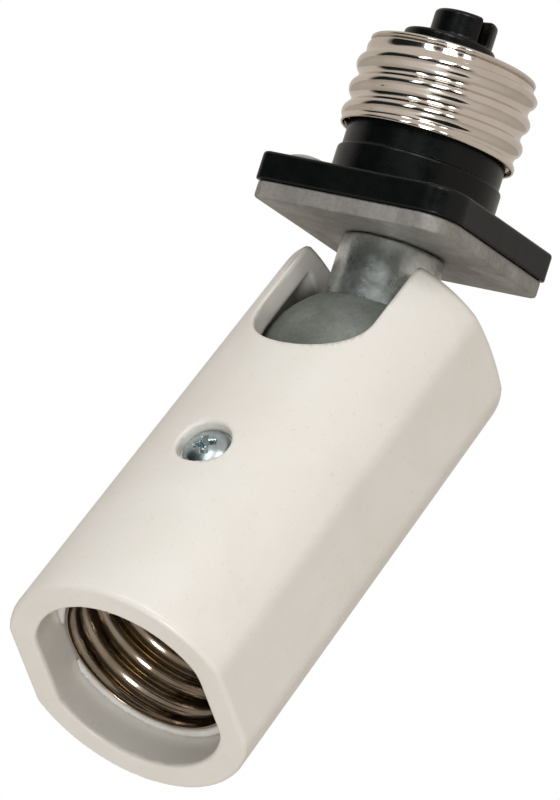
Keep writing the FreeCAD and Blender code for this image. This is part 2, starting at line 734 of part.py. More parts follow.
slot_sketch.addConstraint(Sketcher.Constraint("PointOnObject", 0, 2, -1))
slot_index = slot_sketch.addConstraint(Sketcher.Constraint("Radius", 0, half))
slot_sketch.setExpression("Constraints[%d]" % slot_index, D["slot_half"].text)
hold(slot_sketch, "DistanceY", 1, 2, D["casing_blank_top"])
extrude(casing, "front_slot", slot_sketch, D["casing_rad"] + 1, "PartDesign::Pocket")
counterbore_sketch = new_sketch(casing, "counterbore_outline", "XZ_Plane", D["casing_rad"] + 1)
draw_circle(counterbore_sketch, D["counterbore_rad"], 0, D["casing_screw_height"])
extrude(casing, "counterbore", counterbore_sketch,
        D["casing_rad"] + 1 - D["counterbore_floor"], "PartDesign::Pocket")
screw_hole_sketch = new_sketch(casing, "screw_hole_outline", "XZ_Plane", D["counterbore_floor"])
draw_circle(screw_hole_sketch, D["screw_hole_rad"], 0, D["casing_screw_height"])
extrude(casing, "screw_hole", screw_hole_sketch, 5, "PartDesign::Pocket")
tilted(casing)

cup = new_body("ball_cup")
cup_sketch = new_sketch(cup, "cup_outline", "XY_Plane", D["cup_bottom"])
draw_double_d(cup_sketch, D["insert_rad"], D["insert_half_flat"])
extrude(cup, "cup_blank", cup_sketch, D["cup_top"] - D["cup_bottom"])
cup_cut_sketch = new_sketch(cup, "cup_seat_profile", "XZ_Plane")
cup_cut_sketch.addGeometry(Part.ArcOfCircle(
    Part.Circle(FreeCAD.Vector(0, 0, 0), FreeCAD.Vector(0, 0, 1), seat), -math.pi / 2, 0), False)
cup_cut_sketch.addGeometry(
    Part.LineSegment(FreeCAD.Vector(seat, 0, 0), FreeCAD.Vector(0, 0, 0)), False)
cup_cut_sketch.addGeometry(
    Part.LineSegment(FreeCAD.Vector(0, 0, 0), FreeCAD.Vector(0, -seat, 0)), False)
for i in range(3):
    cup_cut_sketch.addConstraint(Sketcher.Constraint("Block", i))
cup_seat = cup.newObject("PartDesign::Groove", "cup_seat")
cup_seat.Profile = cup_cut_sketch
cup_seat.ReferenceAxis = (cup_cut_sketch, ["V_Axis"])
cup_seat.Angle = 360
cup_hole_sketch = new_sketch(cup, "cup_hole_outline", "XY_Plane", D["cup_top"])
draw_circle(cup_hole_sketch, 7.0)
extrude(cup, "cup_hole", cup_hole_sketch, D["cup_top"] - D["cup_bottom"], "PartDesign::Pocket")
tilted(cup)

spring = new_body("friction_spring")
spring_sketch = new_sketch(spring, "spring_wire", "XZ_Plane")
draw_circle(spring_sketch, D["spring_wire_rad"], D["spring_mean_rad"],
            D["spring_plate_top"] + D["spring_wire_rad"])
coil = spring.newObject("PartDesign::AdditiveHelix", "spring_coil")
coil.Profile = spring_sketch
coil.ReferenceAxis = (spring_sketch, ["V_Axis"])
coil.Mode = "pitch-height-angle"
coil.Angle = 0
coil.Growth = 0
bind(coil, "Pitch", D["spring_pitch"])
bind(coil, "Height", D["cup_bottom"] - D["spring_plate_top"] - D["spring_wire_rad"] * 2)
tilted(spring)

spring_plate = new_body("spring_plate")
spring_plate_sketch = new_sketch(spring_plate, "spring_plate_outline", "XY_Plane", D["core_top"])
draw_double_d(spring_plate_sketch, D["insert_rad"], D["insert_half_flat"])
draw_circle(spring_plate_sketch, 6.5)
extrude(spring_plate, "spring_plate_pad", spring_plate_sketch,
        D["spring_plate_top"] - D["core_top"])
tilted(spring_plate)

core = new_body("socket_core")
core_sketch = new_sketch(core, "core_outline", "XY_Plane", D["core_mouth"])
draw_double_d(core_sketch, D["insert_rad"], D["insert_half_flat"])
extrude(core, "core_blank", core_sketch, D["core_top"] - D["core_mouth"])
pocket_sketch = new_sketch(core, "shell_pocket_outline", "XY_Plane", D["core_floor"])
draw_circle(pocket_sketch, D["pocket_rad"])
extrude(core, "shell_pocket", pocket_sketch, D["core_floor"] - D["core_mouth"],
        "PartDesign::Pocket")
window_sketch = new_sketch(core, "flat_windows", "XY_Plane", D["core_floor"])
window_half = 3.5
window_inner = 12.0
draw_polygon(window_sketch, [
    (-D["insert_rad"], -window_half),
    (-window_inner, -window_half),
    (-window_inner, window_half),
    (-D["insert_rad"], window_half),
])
draw_polygon(window_sketch, [
    (window_inner, -window_half),
    (D["insert_rad"], -window_half),
    (D["insert_rad"], window_half),
    (window_inner, window_half),
])
extrude(core, "core_flat_windows", window_sketch, D["core_floor"] - D["core_mouth"],
        "PartDesign::Pocket")
terminal_sketch = new_sketch(core, "terminal_chamber_outline", "XY_Plane", D["core_top"])
draw_polygon(terminal_sketch, [(-10.5, 1.5), (10.5, 1.5), (10.5, 7.5), (-10.5, 7.5)])
extrude(core, "terminal_chamber", terminal_sketch, D["core_top"] - D["terminal_floor"],
        "PartDesign::Pocket")
nut_sketch = new_sketch(core, "nut_slot_outline", "XY_Plane", D["core_top"])
nut_half = D["nut_half"] + 0.1
draw_polygon(nut_sketch, [
    (-nut_half, -D["nut_near"] - D["nut_thick"] - 0.1),
    (nut_half, -D["nut_near"] - D["nut_thick"] - 0.1),
    (nut_half, -D["nut_near"] + 0.1),
    (-nut_half, -D["nut_near"] + 0.1),
])
nut_slot_depth = D["core_top"] - D["casing_screw_height"] + D["nut_half"]
extrude(core, "nut_slot", nut_sketch, nut_slot_depth, "PartDesign::Pocket")
core_screw_sketch = new_sketch(core, "core_screw_hole_outline", "XZ_Plane", D["insert_rad"])
draw_circle(core_screw_sketch, D["screw_hole_rad"], 0, D["casing_screw_height"])
extrude(core, "core_screw_hole", core_screw_sketch, D["insert_rad"] - 4, "PartDesign::Pocket")
rivet_places = [(1.8, 4.5), (-8.3, 4.5), (8.3, 4.5)]
rivet_hole_sketch = new_sketch(core, "rivet_hole_outline", "XY_Plane", D["terminal_floor"])
for x, y in rivet_places:
    draw_circle(rivet_hole_sketch, D["rivet_rad"], x, y)
extrude(core, "rivet_holes", rivet_hole_sketch, D["terminal_floor"] - D["core_floor"],
        "PartDesign::Pocket")
tilted(core)

casing_screw = new_body("casing_screw")
casing_screw_tip = 6.0
revolve(casing_screw, "casing_screw_form", [
    (0, casing_screw_tip),
    (D["casing_screw_rad"] - 0.05, casing_screw_tip),
    (D["casing_screw_rad"] - 0.05, D["counterbore_floor"]),
    (D["casing_head_rad"], D["counterbore_floor"]),
    (D["casing_head_rad"], D["counterbore_floor"] + D["casing_head_height"] * 0.5),
    (D["casing_head_rad"] * 0.6, D["counterbore_floor"] + D["casing_head_height"]),
    (0, D["counterbore_floor"] + D["casing_head_height"]),
])
driver_sketch = new_sketch(casing_screw, "driver_slot_outline", "XY_Plane",
                           D["counterbore_floor"] + D["casing_head_height"])
draw_polygon(driver_sketch, [(-5, -0.5), (5, -0.5), (5, 0.5), (-5, 0.5)])
extrude(casing_screw, "driver_slot", driver_sketch, 0.9, "PartDesign::Pocket")

core_nut = new_body("core_nut")
nut_outline = new_sketch(core_nut, "nut_outline", "XY_Plane", D["nut_near"])
draw_polygon(nut_outline, [
    (-D["nut_half"], -D["nut_half"]),
    (D["nut_half"], -D["nut_half"]),
    (D["nut_half"], D["nut_half"]),
    (-D["nut_half"], D["nut_half"]),
])
draw_circle(nut_outline, D["casing_screw_rad"])
extrude(core_nut, "nut_pad", nut_outline, D["nut_thick"])

# the screw and its nut lie along the holder's front direction, at the screw height
tip_down = math.radians(D["tilt_angle"].value)
screw_height = D["casing_screw_height"].value
for part in (casing_screw, core_nut):
    part.Placement = FreeCAD.Placement(
        FreeCAD.Vector(0, screw_height * math.sin(tip_down),
                       D["ball_centre"].value + screw_height * math.cos(tip_down)),
        FreeCAD.Rotation(FreeCAD.Vector(1, 0, 0), 90 - D["tilt_angle"].value))
    part.setExpression("Placement.Base.y", "Dims.casing_screw_height * sin(Dims.tilt_angle * 1 deg)")
    part.setExpression(
        "Placement.Base.z",
        "Dims.ball_centre + Dims.casing_screw_height * cos(Dims.tilt_angle * 1 deg)")
    part.setExpression("Placement.Rotation.Angle", "90 - Dims.tilt_angle")

lamp_shell = new_body("lamp_screw_shell")
lamp_wall_sketch = new_sketch(lamp_shell, "lamp_wall_profile", "XZ_Plane")
lamp_half_turns = 10
lamp_thread_start = D["core_mouth"].value + 1.0
lamp_thread_end = lamp_thread_start + lamp_half_turns * D["thread_pitch"].value / 2
rolled_wall(lamp_wall_sketch, D["lamp_crest_rad"].value, lamp_thread_start, lamp_half_turns,
            0.9, D["core_floor"].value - 0.05 - lamp_thread_end)
lamp_roll = lamp_shell.newObject("PartDesign::Revolution", "lamp_roll")
lamp_roll.Profile = lamp_wall_sketch
lamp_roll.ReferenceAxis = (lamp_wall_sketch, ["V_Axis"])
lamp_roll.Angle = 360
lamp_floor_outer = D["lamp_crest_rad"] - D["thread_depth"] / 2
revolve(lamp_shell, "lamp_floor", [
    (7.4, D["core_floor"] - 0.35),
    (lamp_floor_outer, D["core_floor"] - 0.35),
    (lamp_floor_outer, D["core_floor"] - 0.05),
    (7.4, D["core_floor"] - 0.05),
])
lamp_hole_sketch = new_sketch(lamp_shell, "lamp_rivet_holes", "XY_Plane", D["core_floor"])
for x, y in rivet_places[1:]:
    draw_circle(lamp_hole_sketch, D["rivet_rad"], x, y)
extrude(lamp_shell, "lamp_rivet_pocket", lamp_hole_sketch, 1.0, "PartDesign::Pocket")
tilted(lamp_shell)

contact = new_body("lamp_centre_contact")
contact_half = 3.3
contact_sketch = new_sketch(contact, "contact_profile", "YZ_Plane", -contact_half)
contact_top = D["core_floor"] - 0.05
draw_polygon(contact_sketch, [
    (6.4, contact_top),
    (2.0, contact_top),
    (-1.5, contact_top - 3.6),
    (-4.6, contact_top - 2.4),
    (-4.6, contact_top - 2.9),
    (-1.5, contact_top - 4.2),
    (2.2, contact_top - D["contact_thick"]),
    (6.4, contact_top - D["contact_thick"]),
])
extrude(contact, "contact_strip", contact_sketch, contact_half * 2)
contact_hole_sketch = new_sketch(contact, "contact_rivet_hole", "XY_Plane", D["core_floor"])
draw_circle(contact_hole_sketch, D["rivet_rad"], *rivet_places[0])
extrude(contact, "contact_rivet_pocket", contact_hole_sketch, 1.0, "PartDesign::Pocket")
tilted(contact)

rivets = []
for number, (x, y) in enumerate(rivet_places):
    pin = new_body("socket_rivet_%d" % number)
    head_z = D["core_floor"] - 0.4
    if number == 0:
        head_z = D["core_floor"] - 0.05 - D["contact_thick"]
    revolve(pin, "socket_rivet_form_%d" % number, [
        (0, head_z - 0.8),
        (1.6, head_z - 0.8),
        (2.1, head_z - 0.05),
        (D["rivet_rad"] - 0.02, head_z - 0.05),
        (D["rivet_rad"] - 0.02, D["terminal_floor"] + 0.65),
        (2.0, D["terminal_floor"] + 0.65),
        (1.6, D["terminal_floor"] + 1.3),
        (0, D["terminal_floor"] + 1.3),
    ])
    bind(pin, "Placement.Base.x", x)
    bind(pin, "Placement.Base.y", y)
    rivets.append(pin)
centre_rivet = group("centre_contact_rivet", rivets[:1])
shell_rivets = group("shell_rivets", rivets[1:])

terminals = []
for name, low, high, hole in (("live", 0.4, 4.6, rivet_places[0]),
                              ("neutral", -10.2, -0.8, rivet_places[1])):
    strip = block(name + "_terminal_strip", (low, 2.0, D["terminal_floor"] + 0.05),
                  (high - low, 5.0, 0.5))
    drill = cylinder(name + "_terminal_drill", D["rivet_rad"], 3, hole[0], hole[1],
                     D["terminal_floor"] - 1)
    terminals.append(cut(name + "_terminal", strip, drill))
lead_terminals = group("lead_terminals", terminals)
for obj in (centre_rivet, shell_rivets, lead_terminals):
    tilted(obj)


# ---------------------------------------------------------------- leads

def bent_lead(name, route):
    """One lead swept along a route of (y, z) points at the lead offset from X = 0."""
    body = new_body(name)
    spine = new_sketch(body, name + "_route", "YZ_Plane", D["lead_offset"])
    points = [FreeCAD.Vector(as_size(y).value, as_size(z).value, 0) for y, z in route]
    for i, (start, end) in enumerate(zip(points, points[1:])):
        spine.addGeometry(Part.LineSegment(start, end), False)
        if i:
            spine.addConstraint(Sketcher.Constraint("Coincident", i - 1, 2, i, 1))
    for i, (y, z) in enumerate(route[:-1]):
        hold(spine, "DistanceX", i, 1, y)
        hold(spine, "DistanceY", i, 1, z)
    hold(spine, "DistanceX", len(route) - 2, 2, route[-1][0])
    hold(spine, "DistanceY", len(route) - 2, 2, route[-1][1])
    section = new_sketch(body, name + "_section", "XY_Plane", route[0][1])
    draw_circle(section, D["lead_rad"], D["lead_offset"], route[0][0])
    pipe = body.newObject("PartDesign::AdditivePipe", name + "_pipe")
    pipe.Profile = section
    pipe.Spine = spine
    pipe.Transition = "Round corner"
    return body


def lead_pair(name, route):
    lead = bent_lead(name + "_right", route)
    return group(name, [lead, mirrored(name + "_left", lead)])


base_leads = lead_pair("base_leads", [
    (0, D["journal_top"] + 0.6),
    (0, D["shoulder_top"] - 2.4),
])
stem_leads = lead_pair("stem_leads", [
    (0, D["ball_centre"] + 1.0),
    (0, D["journal_top"] + 0.2),
])
holder_leads = lead_pair("holder_leads", [
    (0, -2.0),
    (0, -17.0),
    (4.0, -24.0),
    (4.0, D["terminal_floor"] + 1.4),
])
tilted(holder_leads)

# ---------------------------------------------------------------- export

NODES = {
    "screw_base_shell": shell,
    "base_insulator": insulator,
    "base_contact_tongue": tongue,
    "base_contact_rivet": rivet,
    "base_plate": plate,
    "plate_screws": plate_screws,
    "base_leads": base_leads,
    "swivel_stem": stem,
    "pivot_ball": pivot_ball,
    "stop_washer": stop_washer,
    "wave_washer": wave_washer,
    "retaining_ring": retaining_ring,
    "stem_leads": stem_leads,
    "casing": casing,
    "ball_cup": cup,
    "friction_spring": spring,
    "spring_plate": spring_plate,
    "socket_core": core,
    "casing_screw": casing_screw,
    "core_nut": core_nut,
    "lamp_screw_shell": lamp_shell,
    "lamp_centre_contact": contact,
    "centre_contact_rivet": centre_rivet,
    "shell_rivets": shell_rivets,
    "lead_terminals": lead_terminals,
    "holder_leads": holder_leads,
}

doc.recompute()
faults = [obj.Name for obj in doc.Objects
          if "Invalid" in obj.State or "Error" in obj.State]
if faults:
    raise RuntimeError("these objects failed: " + ", ".join(faults))
os.makedirs("parts", exist_ok=True)
for name, obj in NODES.items():
    if obj.Shape.isNull() or not obj.Shape.isValid():
        raise RuntimeError(name + " has a bad shape")
    obj.Shape.exportStep("parts/%s.step" % name)
    box = obj.Shape.BoundBox
    print("%-22s solids %d  volume %9.1f  z %7.2f..%7.2f  x %6.2f..%6.2f  y %6.2f..%6.2f" % (
        name, len(obj.Shape.Solids), obj.Shape.Volume,
        box.ZMin, box.ZMax, box.XMin, box.XMax, box.YMin, box.YMax))
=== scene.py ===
import json
import math

import bpy
import numpy as np
from mathutils import Matrix, Vector


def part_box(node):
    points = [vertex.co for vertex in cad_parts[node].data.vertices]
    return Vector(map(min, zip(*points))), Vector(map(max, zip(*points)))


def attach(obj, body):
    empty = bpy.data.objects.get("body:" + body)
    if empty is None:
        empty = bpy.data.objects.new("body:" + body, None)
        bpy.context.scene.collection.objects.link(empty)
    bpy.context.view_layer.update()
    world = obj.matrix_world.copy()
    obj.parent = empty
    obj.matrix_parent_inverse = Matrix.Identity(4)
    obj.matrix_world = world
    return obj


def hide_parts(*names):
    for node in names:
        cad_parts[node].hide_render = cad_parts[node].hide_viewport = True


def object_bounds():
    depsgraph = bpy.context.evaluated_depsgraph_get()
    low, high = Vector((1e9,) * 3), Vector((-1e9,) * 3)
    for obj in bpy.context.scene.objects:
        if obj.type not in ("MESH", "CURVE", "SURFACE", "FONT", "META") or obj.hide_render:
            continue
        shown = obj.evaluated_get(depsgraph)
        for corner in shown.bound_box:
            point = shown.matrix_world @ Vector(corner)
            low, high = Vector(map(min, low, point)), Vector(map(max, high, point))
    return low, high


# Swivel adapter for a heat lamp. Shapes are worked out in millimetres, in the axes of
# the row, of the flange or of the holder, and set down in the frame in metres.

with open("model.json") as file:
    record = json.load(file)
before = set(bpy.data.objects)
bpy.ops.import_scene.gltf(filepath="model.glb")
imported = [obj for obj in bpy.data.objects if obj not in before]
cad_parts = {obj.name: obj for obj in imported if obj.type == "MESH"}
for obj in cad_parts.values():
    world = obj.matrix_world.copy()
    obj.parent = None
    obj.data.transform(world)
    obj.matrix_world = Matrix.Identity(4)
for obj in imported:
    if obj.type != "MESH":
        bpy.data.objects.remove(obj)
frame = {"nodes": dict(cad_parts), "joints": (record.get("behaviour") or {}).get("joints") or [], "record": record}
cad_low, cad_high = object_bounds()
MM = 0.001

# ------------------------------------------------------------------ the frame

joints = {joint["name"]: joint for joint in frame["joints"]}
mounts = {mount["name"]: mount for mount in frame["record"]["mounts"]}
slots = {part["node"]: part["material_slot"] for part in frame["record"]["subparts"]}

ball_centre = Vector(joints["ball_tilt"]["pos_m"])
mouth_axis = Vector(mounts["lamp_screw_socket"]["axis"])
tilt = math.atan2(-mouth_axis.y, -mouth_axis.z)


def top(node):
    """The highest point of a CAD node, in mm."""
    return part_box(node)[1].z / MM


def bottom(node):
    """The lowest point of a CAD node, in mm."""
    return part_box(node)[0].z / MM


# The row's axes are the frame's, with Z up the upper screw. The flange's have its tips
# on X. The holder's start on the ball centre, with Z up the casing and its front to -Y.
FLANGE_TURN = math.radians(47.4)
in_row = Matrix.Identity(4)
in_flange = Matrix.Rotation(FLANGE_TURN, 4, "Z")
in_holder = Matrix.Translation(ball_centre) @ Matrix.Rotation(-tilt, 4, "X")

# ------------------------------------------------------------------ dimensions, mm

# the rolled Edison threads: pitch, depth of the roll and thickness of the sheet
PITCH = 3.629
DEPTH = 0.8
WALL = 0.3
SHELL_COLUMNS = 288
RUNNING_GAP = 0.05

# the upper screw shell and the black moulding
BASE_CREST = 13.1
BASE_THREAD_SHIFT = 0.504
SHELL_TOP = top("screw_base_shell")
NOSE_TOP = top("base_insulator")
BASE_STEP = 0.16
LAMP_STEP = 0.18
BASE_TOE = 5.0
BEAD_RAD = 0.4
BEAD_OUT = BASE_CREST - 1.3
SHOULDER_TOP = SHELL_TOP + 2.4
SHOULDER_RAD = 8.0
COLLAR_RAD = 6.7
COLLAR_X = -1.26
COLLAR_Y = 0.31
NOSE_RAD = 4.65
NOSE_SLOT = 1.8
NOSE_SLOT_TURN = math.radians(118.8)
NOSE_PIN_RAD = 1.3
NECK_UPPER = 11.6
NECK_LOWER = 12.1
NECK_STEP = -3.3
FLANGE_TOP = -8.3
FLANGE_BOTTOM = bottom("base_insulator")
FLANGE_LONG = 22.9
FLANGE_SHORT = 23.3
TIP_ROUND = 1.6
SIDE_ROUND = 5.0
CAVITY_RAD = 9.3
CAVITY_TOP = -4.0
WIRE_HOLE = 3.0

# the cast plate, its journal and its screws
PLATE_BOTTOM = bottom("base_plate")
PLATE_INSET = 0.5
JOURNAL_RAD = 6.0
SCREW_OFFSET = 15.5
PLATE_HEAD = 3.2
PLATE_HEAD_HEIGHT = 1.3
PLATE_SCREW = 1.65

# the stem and the ball, whose slot for the leads runs between two angles about X
STEM_RAD = 7.6
STEM_TOP = PLATE_BOTTOM - 0.3
STEM_END = bottom("swivel_stem")
STEM_HIGH = top("swivel_stem")
BALL_RAD = 14.5
BALL_FLAT = 13.4
BALL_SLOT = 3.0
BALL_SLOT_LOW = math.radians(-5)
BALL_SLOT_HIGH = math.radians(75)
BALL_CHAMBER_RAD = 3.4
RING_GROOVE_RAD = 5.2
RING_GROOVE = (-10.3, -9.4)

# the ceramic casing, its draft and its screw
CASING_RAD = 19.2
CASING_FLAT = 17.9
DRAFT = math.tan(math.radians(0.8))
MOUTH = -61.5
DOME_APEX = 16.6
DOME_RAD = 40.6
BORE_RAD = 14.9
BORE_FLAT = 13.75
BORE_TOP = 10.5
SEAT_RAD = 14.8
SLOT_HALF = 9.3
SCREW_HEIGHT = -30.5
COUNTERBORE = 4.0
COUNTERBORE_FLOOR = 16.4
HEAD_RAD = 3.6
HEAD_HEIGHT = 1.8
HEAD_TURN = math.radians(28)
CASING_SCREW = 1.95
SCREW_WAY = 2.2

# the socket core and the lamp's screw shell
CORE_MOUTH = -55.8
CORE_FLOOR = -36.0
CORE_TOP = -25.0
INSERT_RAD = 14.8
INSERT_FLAT = 13.65
LAMP_CREST = 13.45
POCKET_RAD = 13.6
SHELL_HOLE_RAD = 7.4
WINDOW = (12.0, 20.0)
WINDOW_HALF = 3.5
CHAMBER_HALF = 10.5
CHAMBER_DEPTH = (1.5, 7.5)
CHAMBER_FLOOR = -32.0
NUT_HALF = 3.6
NUT_DEPTH = (-11.7, -8.5)
NUT_DROP = 3.5
RIVET_HOLE_RAD = 1.25
RIVET_HOLES = ((1.8, 4.5), (-8.3, 4.5), (8.3, 4.5))

# ------------------------------------------------------------------ solid shapes
# A shape is a function of x, y and z that gives about the distance to its surface,
# negative inside. Shapes combine with rounded edges and filleted corners.

SLOPE_STEP = 0.004      # half the span of a gradient, mm
SLAB = 16               # layers of the grid worked out at a time
CENTRE_PULL = 0.06      # holds a point near the middle of its cell where the skin is flat
POLISH_ROUNDS = 3       # times each point is moved on to the surface


def both(a, b, edge=0.0):
    """What is in a and in b, with the edge between them rounded."""
    return (np.minimum(np.maximum(a, b), -edge)
            + np.hypot(np.maximum(a + edge, 0), np.maximum(b + edge, 0)))


def join(a, b, fillet=0.0):
    """What is in a or in b, with the corner between them filled."""
    return (np.maximum(np.minimum(a, b), fillet)
            - np.hypot(np.maximum(fillet - a, 0), np.maximum(fillet - b, 0)))


def less(a, b, edge=0.0):
    """What is in a and not in b."""
    return both(a, -b, edge)


def between(value, low, high):
    return np.maximum(low - value, value - high)


def slope(shape, points):
    """The gradient of a shape at some points."""
    gradient = np.empty_like(points)
    for axis in range(3):
        nudge = np.zeros(3)
        nudge[axis] = SLOPE_STEP
        ahead, behind = points + nudge, points - nudge
        gradient[:, axis] = (shape(*ahead.T) - shape(*behind.T)) / (2 * SLOPE_STEP)
    return gradient


def skin(shape, low, high, step):
    """Points, quads and normals of the surface of a shape, with its edges kept."""
    low = np.array(low, float)
    count = np.ceil((np.array(high) - low) / step).astype(int) + 1
    axes = [low[i] + step * np.arange(count[i]) for i in range(3)]
    field = np.empty(count)
    for start in range(0, count[0], SLAB):
        part = slice(start, start + SLAB)
        field[part] = shape(axes[0][part, None, None], axes[1][None, :, None],
                            axes[2][None, None, :])
    inside = field < 0
    total = np.zeros(count - 1, np.int8)
    for i in (0, 1):
        for j in (0, 1):
            for k in (0, 1):
                total += inside[i:count[0] - 1 + i, j:count[1] - 1 + j, k:count[2] - 1 + k]
    # a cell with corners on both sides of the surface gets one point
    cells = np.argwhere((total > 0) & (total < 8))
    number = np.full(count - 1, -1, np.int64)
    number[tuple(cells.T)] = np.arange(len(cells))

    # each grid edge that crosses the surface gives a quad to the four cells around it,
    # and each of those cells gets the crossing and the way the surface leans there
    owners, places, leans, quads = [], [], [], []
    for axis in range(3):
        b, c = (axis + 1) % 3, (axis + 2) % 3
        ahead = np.roll(inside, -1, axis)
        cross = inside != ahead
        edge_end = [slice(None)] * 3
        edge_end[axis] = slice(-1, None)
        cross[tuple(edge_end)] = False
        at = np.argwhere(cross)
        keep = ((at[:, b] > 0) & (at[:, c] > 0)
                & (at[:, b] < count[b] - 1) & (at[:, c] < count[c] - 1))
        at = at[keep]
        unit = np.zeros(3, int)
        unit[axis] = 1
        f0 = field[tuple(at.T)]
        f1 = field[tuple((at + unit).T)]
        share = f0 / (f0 - f1)
        place = low + step * (at + share[:, None] * unit)
        lean = slope(shape, place)
        lean /= np.linalg.norm(lean, axis=1)[:, None] + 1e-12
        ring = []
        for db, dc in ((-1, -1), (0, -1), (0, 0), (-1, 0)):
            near = at.copy()
            near[:, b] += db
            near[:, c] += dc
            ring.append(number[tuple(near.T)])
            owners.append(ring[-1])
            places.append(place)
            leans.append(lean)
        ring = np.stack(ring, 1)
        outward = inside[tuple(at.T)]
        quads.append(np.where(outward[:, None], ring, ring[:, ::-1]))
    owners = np.concatenate(owners)
    places = np.concatenate(places)
    leans = np.concatenate(leans)
    size = len(cells)

    def gather(values):
        return np.bincount(owners, values, size)

    # the point of a cell lies where the planes of its crossings meet, so edges stay sharp
    hits = gather(np.ones(len(owners)))
    centre = np.stack([gather(places[:, i]) for i in range(3)], 1) / hits[:, None]
    reach = np.einsum("ij,ij->i", places - centre[owners], leans)
    square = np.empty((size, 3, 3))
    right = np.empty((size, 3))
    for i in range(3):
        right[:, i] = gather(leans[:, i] * reach)
        for j in range(3):
            square[:, i, j] = gather(leans[:, i] * leans[:, j])
    square += np.eye(3) * CENTRE_PULL
    shift = np.linalg.solve(square, right[:, :, None])[:, :, 0]
    points = centre + shift
    corner = low + step * cells
    points = np.clip(points, corner - 0.1 * step, corner + 1.1 * step)
    for _ in range(POLISH_ROUNDS):
        lean = slope(shape, points)
        length = (lean * lean).sum(1) + 1e-9
        move = (shape(*points.T) / length)[:, None] * lean
        points -= np.clip(move, -0.4 * step, 0.4 * step)
    normals = slope(shape, points)
    normals /= np.linalg.norm(normals, axis=1)[:, None] + 1e-12
    return points, np.concatenate(quads), normals


def put(name, points, faces, normals, place, body, node, material):
    """Make a piece that stands for a CAD node. The points are in mm, in the axes of place."""
    mesh = bpy.data.meshes.new(name)
    rotation = np.array(place.to_3x3())
    points = points * MM @ rotation.T + np.array(place.translation)
    mesh.vertices.add(len(points))
    mesh.vertices.foreach_set("co", points.ravel())
    mesh.loops.add(faces.size)
    mesh.loops.foreach_set("vertex_index", faces.ravel().astype(np.int32))
    mesh.polygons.add(len(faces))
    mesh.polygons.foreach_set("loop_start", np.arange(0, faces.size, faces.shape[1], dtype=np.int32))
    mesh.update(calc_edges=True)
    mesh.validate()
    mesh.polygons.foreach_set("use_smooth", np.ones(len(mesh.polygons), bool))
    if normals is not None:
        mesh.normals_split_custom_set_from_vertices((normals @ rotation.T).tolist())
    mesh.materials.append(material)
    piece = bpy.data.objects.new(name, mesh)
    bpy.context.scene.collection.objects.link(piece)
    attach(piece, body)
    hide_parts(node)


def carve(name, shape, low, high, step, place, body, node, material):
    """Make a piece from a solid shape that lies between two corners of a grid."""
    points, faces, normals = skin(shape, low, high, step)
    put(name, points, faces, normals, place, body, node, material)


# ------------------------------------------------------------------ materials

NOISE_LOW, NOISE_HIGH = 0.3, 0.7        # the part of the noise range that shows
MIX_A, MIX_B, MIX_RESULT = 6, 7, 2      # colour sockets of a mix node
WHITE = (1.0, 1.0, 1.0)


def new_material(name, metallic=0.0, roughness=0.4, **sockets):
    material = bpy.data.materials.new(name)
    material.use_nodes = True
    shader = material.node_tree.nodes["Principled BSDF"]
    shader.inputs["Metallic"].default_value = metallic
    shader.inputs["Roughness"].default_value = roughness
    for key, value in sockets.items():
        shader.inputs[key.replace("_", " ")].default_value = value
    return material


def noise(material, scale, detail=4.0, rough=0.55, stretch=(1, 1, 1), offset=0.0, warp=0.0):
    tree = material.node_tree
    coords = tree.nodes.new("ShaderNodeTexCoord")
    mapping = tree.nodes.new("ShaderNodeMapping")
    mapping.inputs["Scale"].default_value = stretch
    mapping.inputs["Location"].default_value = (offset, offset * 0.7, offset * 1.3)
    texture = tree.nodes.new("ShaderNodeTexNoise")
    texture.inputs["Scale"].default_value = scale
    texture.inputs["Detail"].default_value = detail
    texture.inputs["Roughness"].default_value = rough
    texture.inputs["Distortion"].default_value = warp
    tree.links.new(coords.outputs["Object"], mapping.inputs["Vector"])
    tree.links.new(mapping.outputs["Vector"], texture.inputs["Vector"])
    return texture.outputs["Fac"]


def ramp(material, value, dark, light, low=NOISE_LOW, high=NOISE_HIGH):
    """A colour that goes from dark to light as the value goes from low to high."""
    tree = material.node_tree
    node = tree.nodes.new("ShaderNodeValToRGB")
    for element, at, colour in zip(node.color_ramp.elements, (low, high), (dark, light)):
        element.position = at
        element.color = (*colour, 1.0)
    tree.links.new(value, node.inputs["Fac"])
    return node.outputs["Color"]


def multiply(material, share, a, b):
    """Colour a, darkened by a share of colour b."""
    tree = material.node_tree
    node = tree.nodes.new("ShaderNodeMix")
    node.data_type = "RGBA"
    node.blend_type = "MULTIPLY"
    node.inputs["Factor"].default_value = share
    tree.links.new(a, node.inputs[MIX_A])
    tree.links.new(b, node.inputs[MIX_B])
    return node.outputs[MIX_RESULT]


def spread(material, value, low, high):
    """A number that goes from low to high with the noise."""
    tree = material.node_tree
    node = tree.nodes.new("ShaderNodeMapRange")
    node.inputs["From Min"].default_value = NOISE_LOW
    node.inputs["From Max"].default_value = NOISE_HIGH
    node.inputs["To Min"].default_value = low
    node.inputs["To Max"].default_value = high
    tree.links.new(value, node.inputs["Value"])
    return node.outputs["Result"]


def relief(material, heights):
    """Stack bumps on a material, each a (value, depth in mm) pair."""
    tree = material.node_tree
    previous = None
    for value, depth in heights:
        node = tree.nodes.new("ShaderNodeBump")
        node.inputs["Strength"].default_value = 1.0
        node.inputs["Distance"].default_value = depth * MM
        tree.links.new(value, node.inputs["Height"])
        if previous is not None:
            tree.links.new(previous, node.inputs["Normal"])
        previous = node.outputs["Normal"]
    feed(material, "Normal", previous)


def feed(material, socket, value):
    shader = material.node_tree.nodes["Principled BSDF"]
    material.node_tree.links.new(value, shader.inputs[socket])


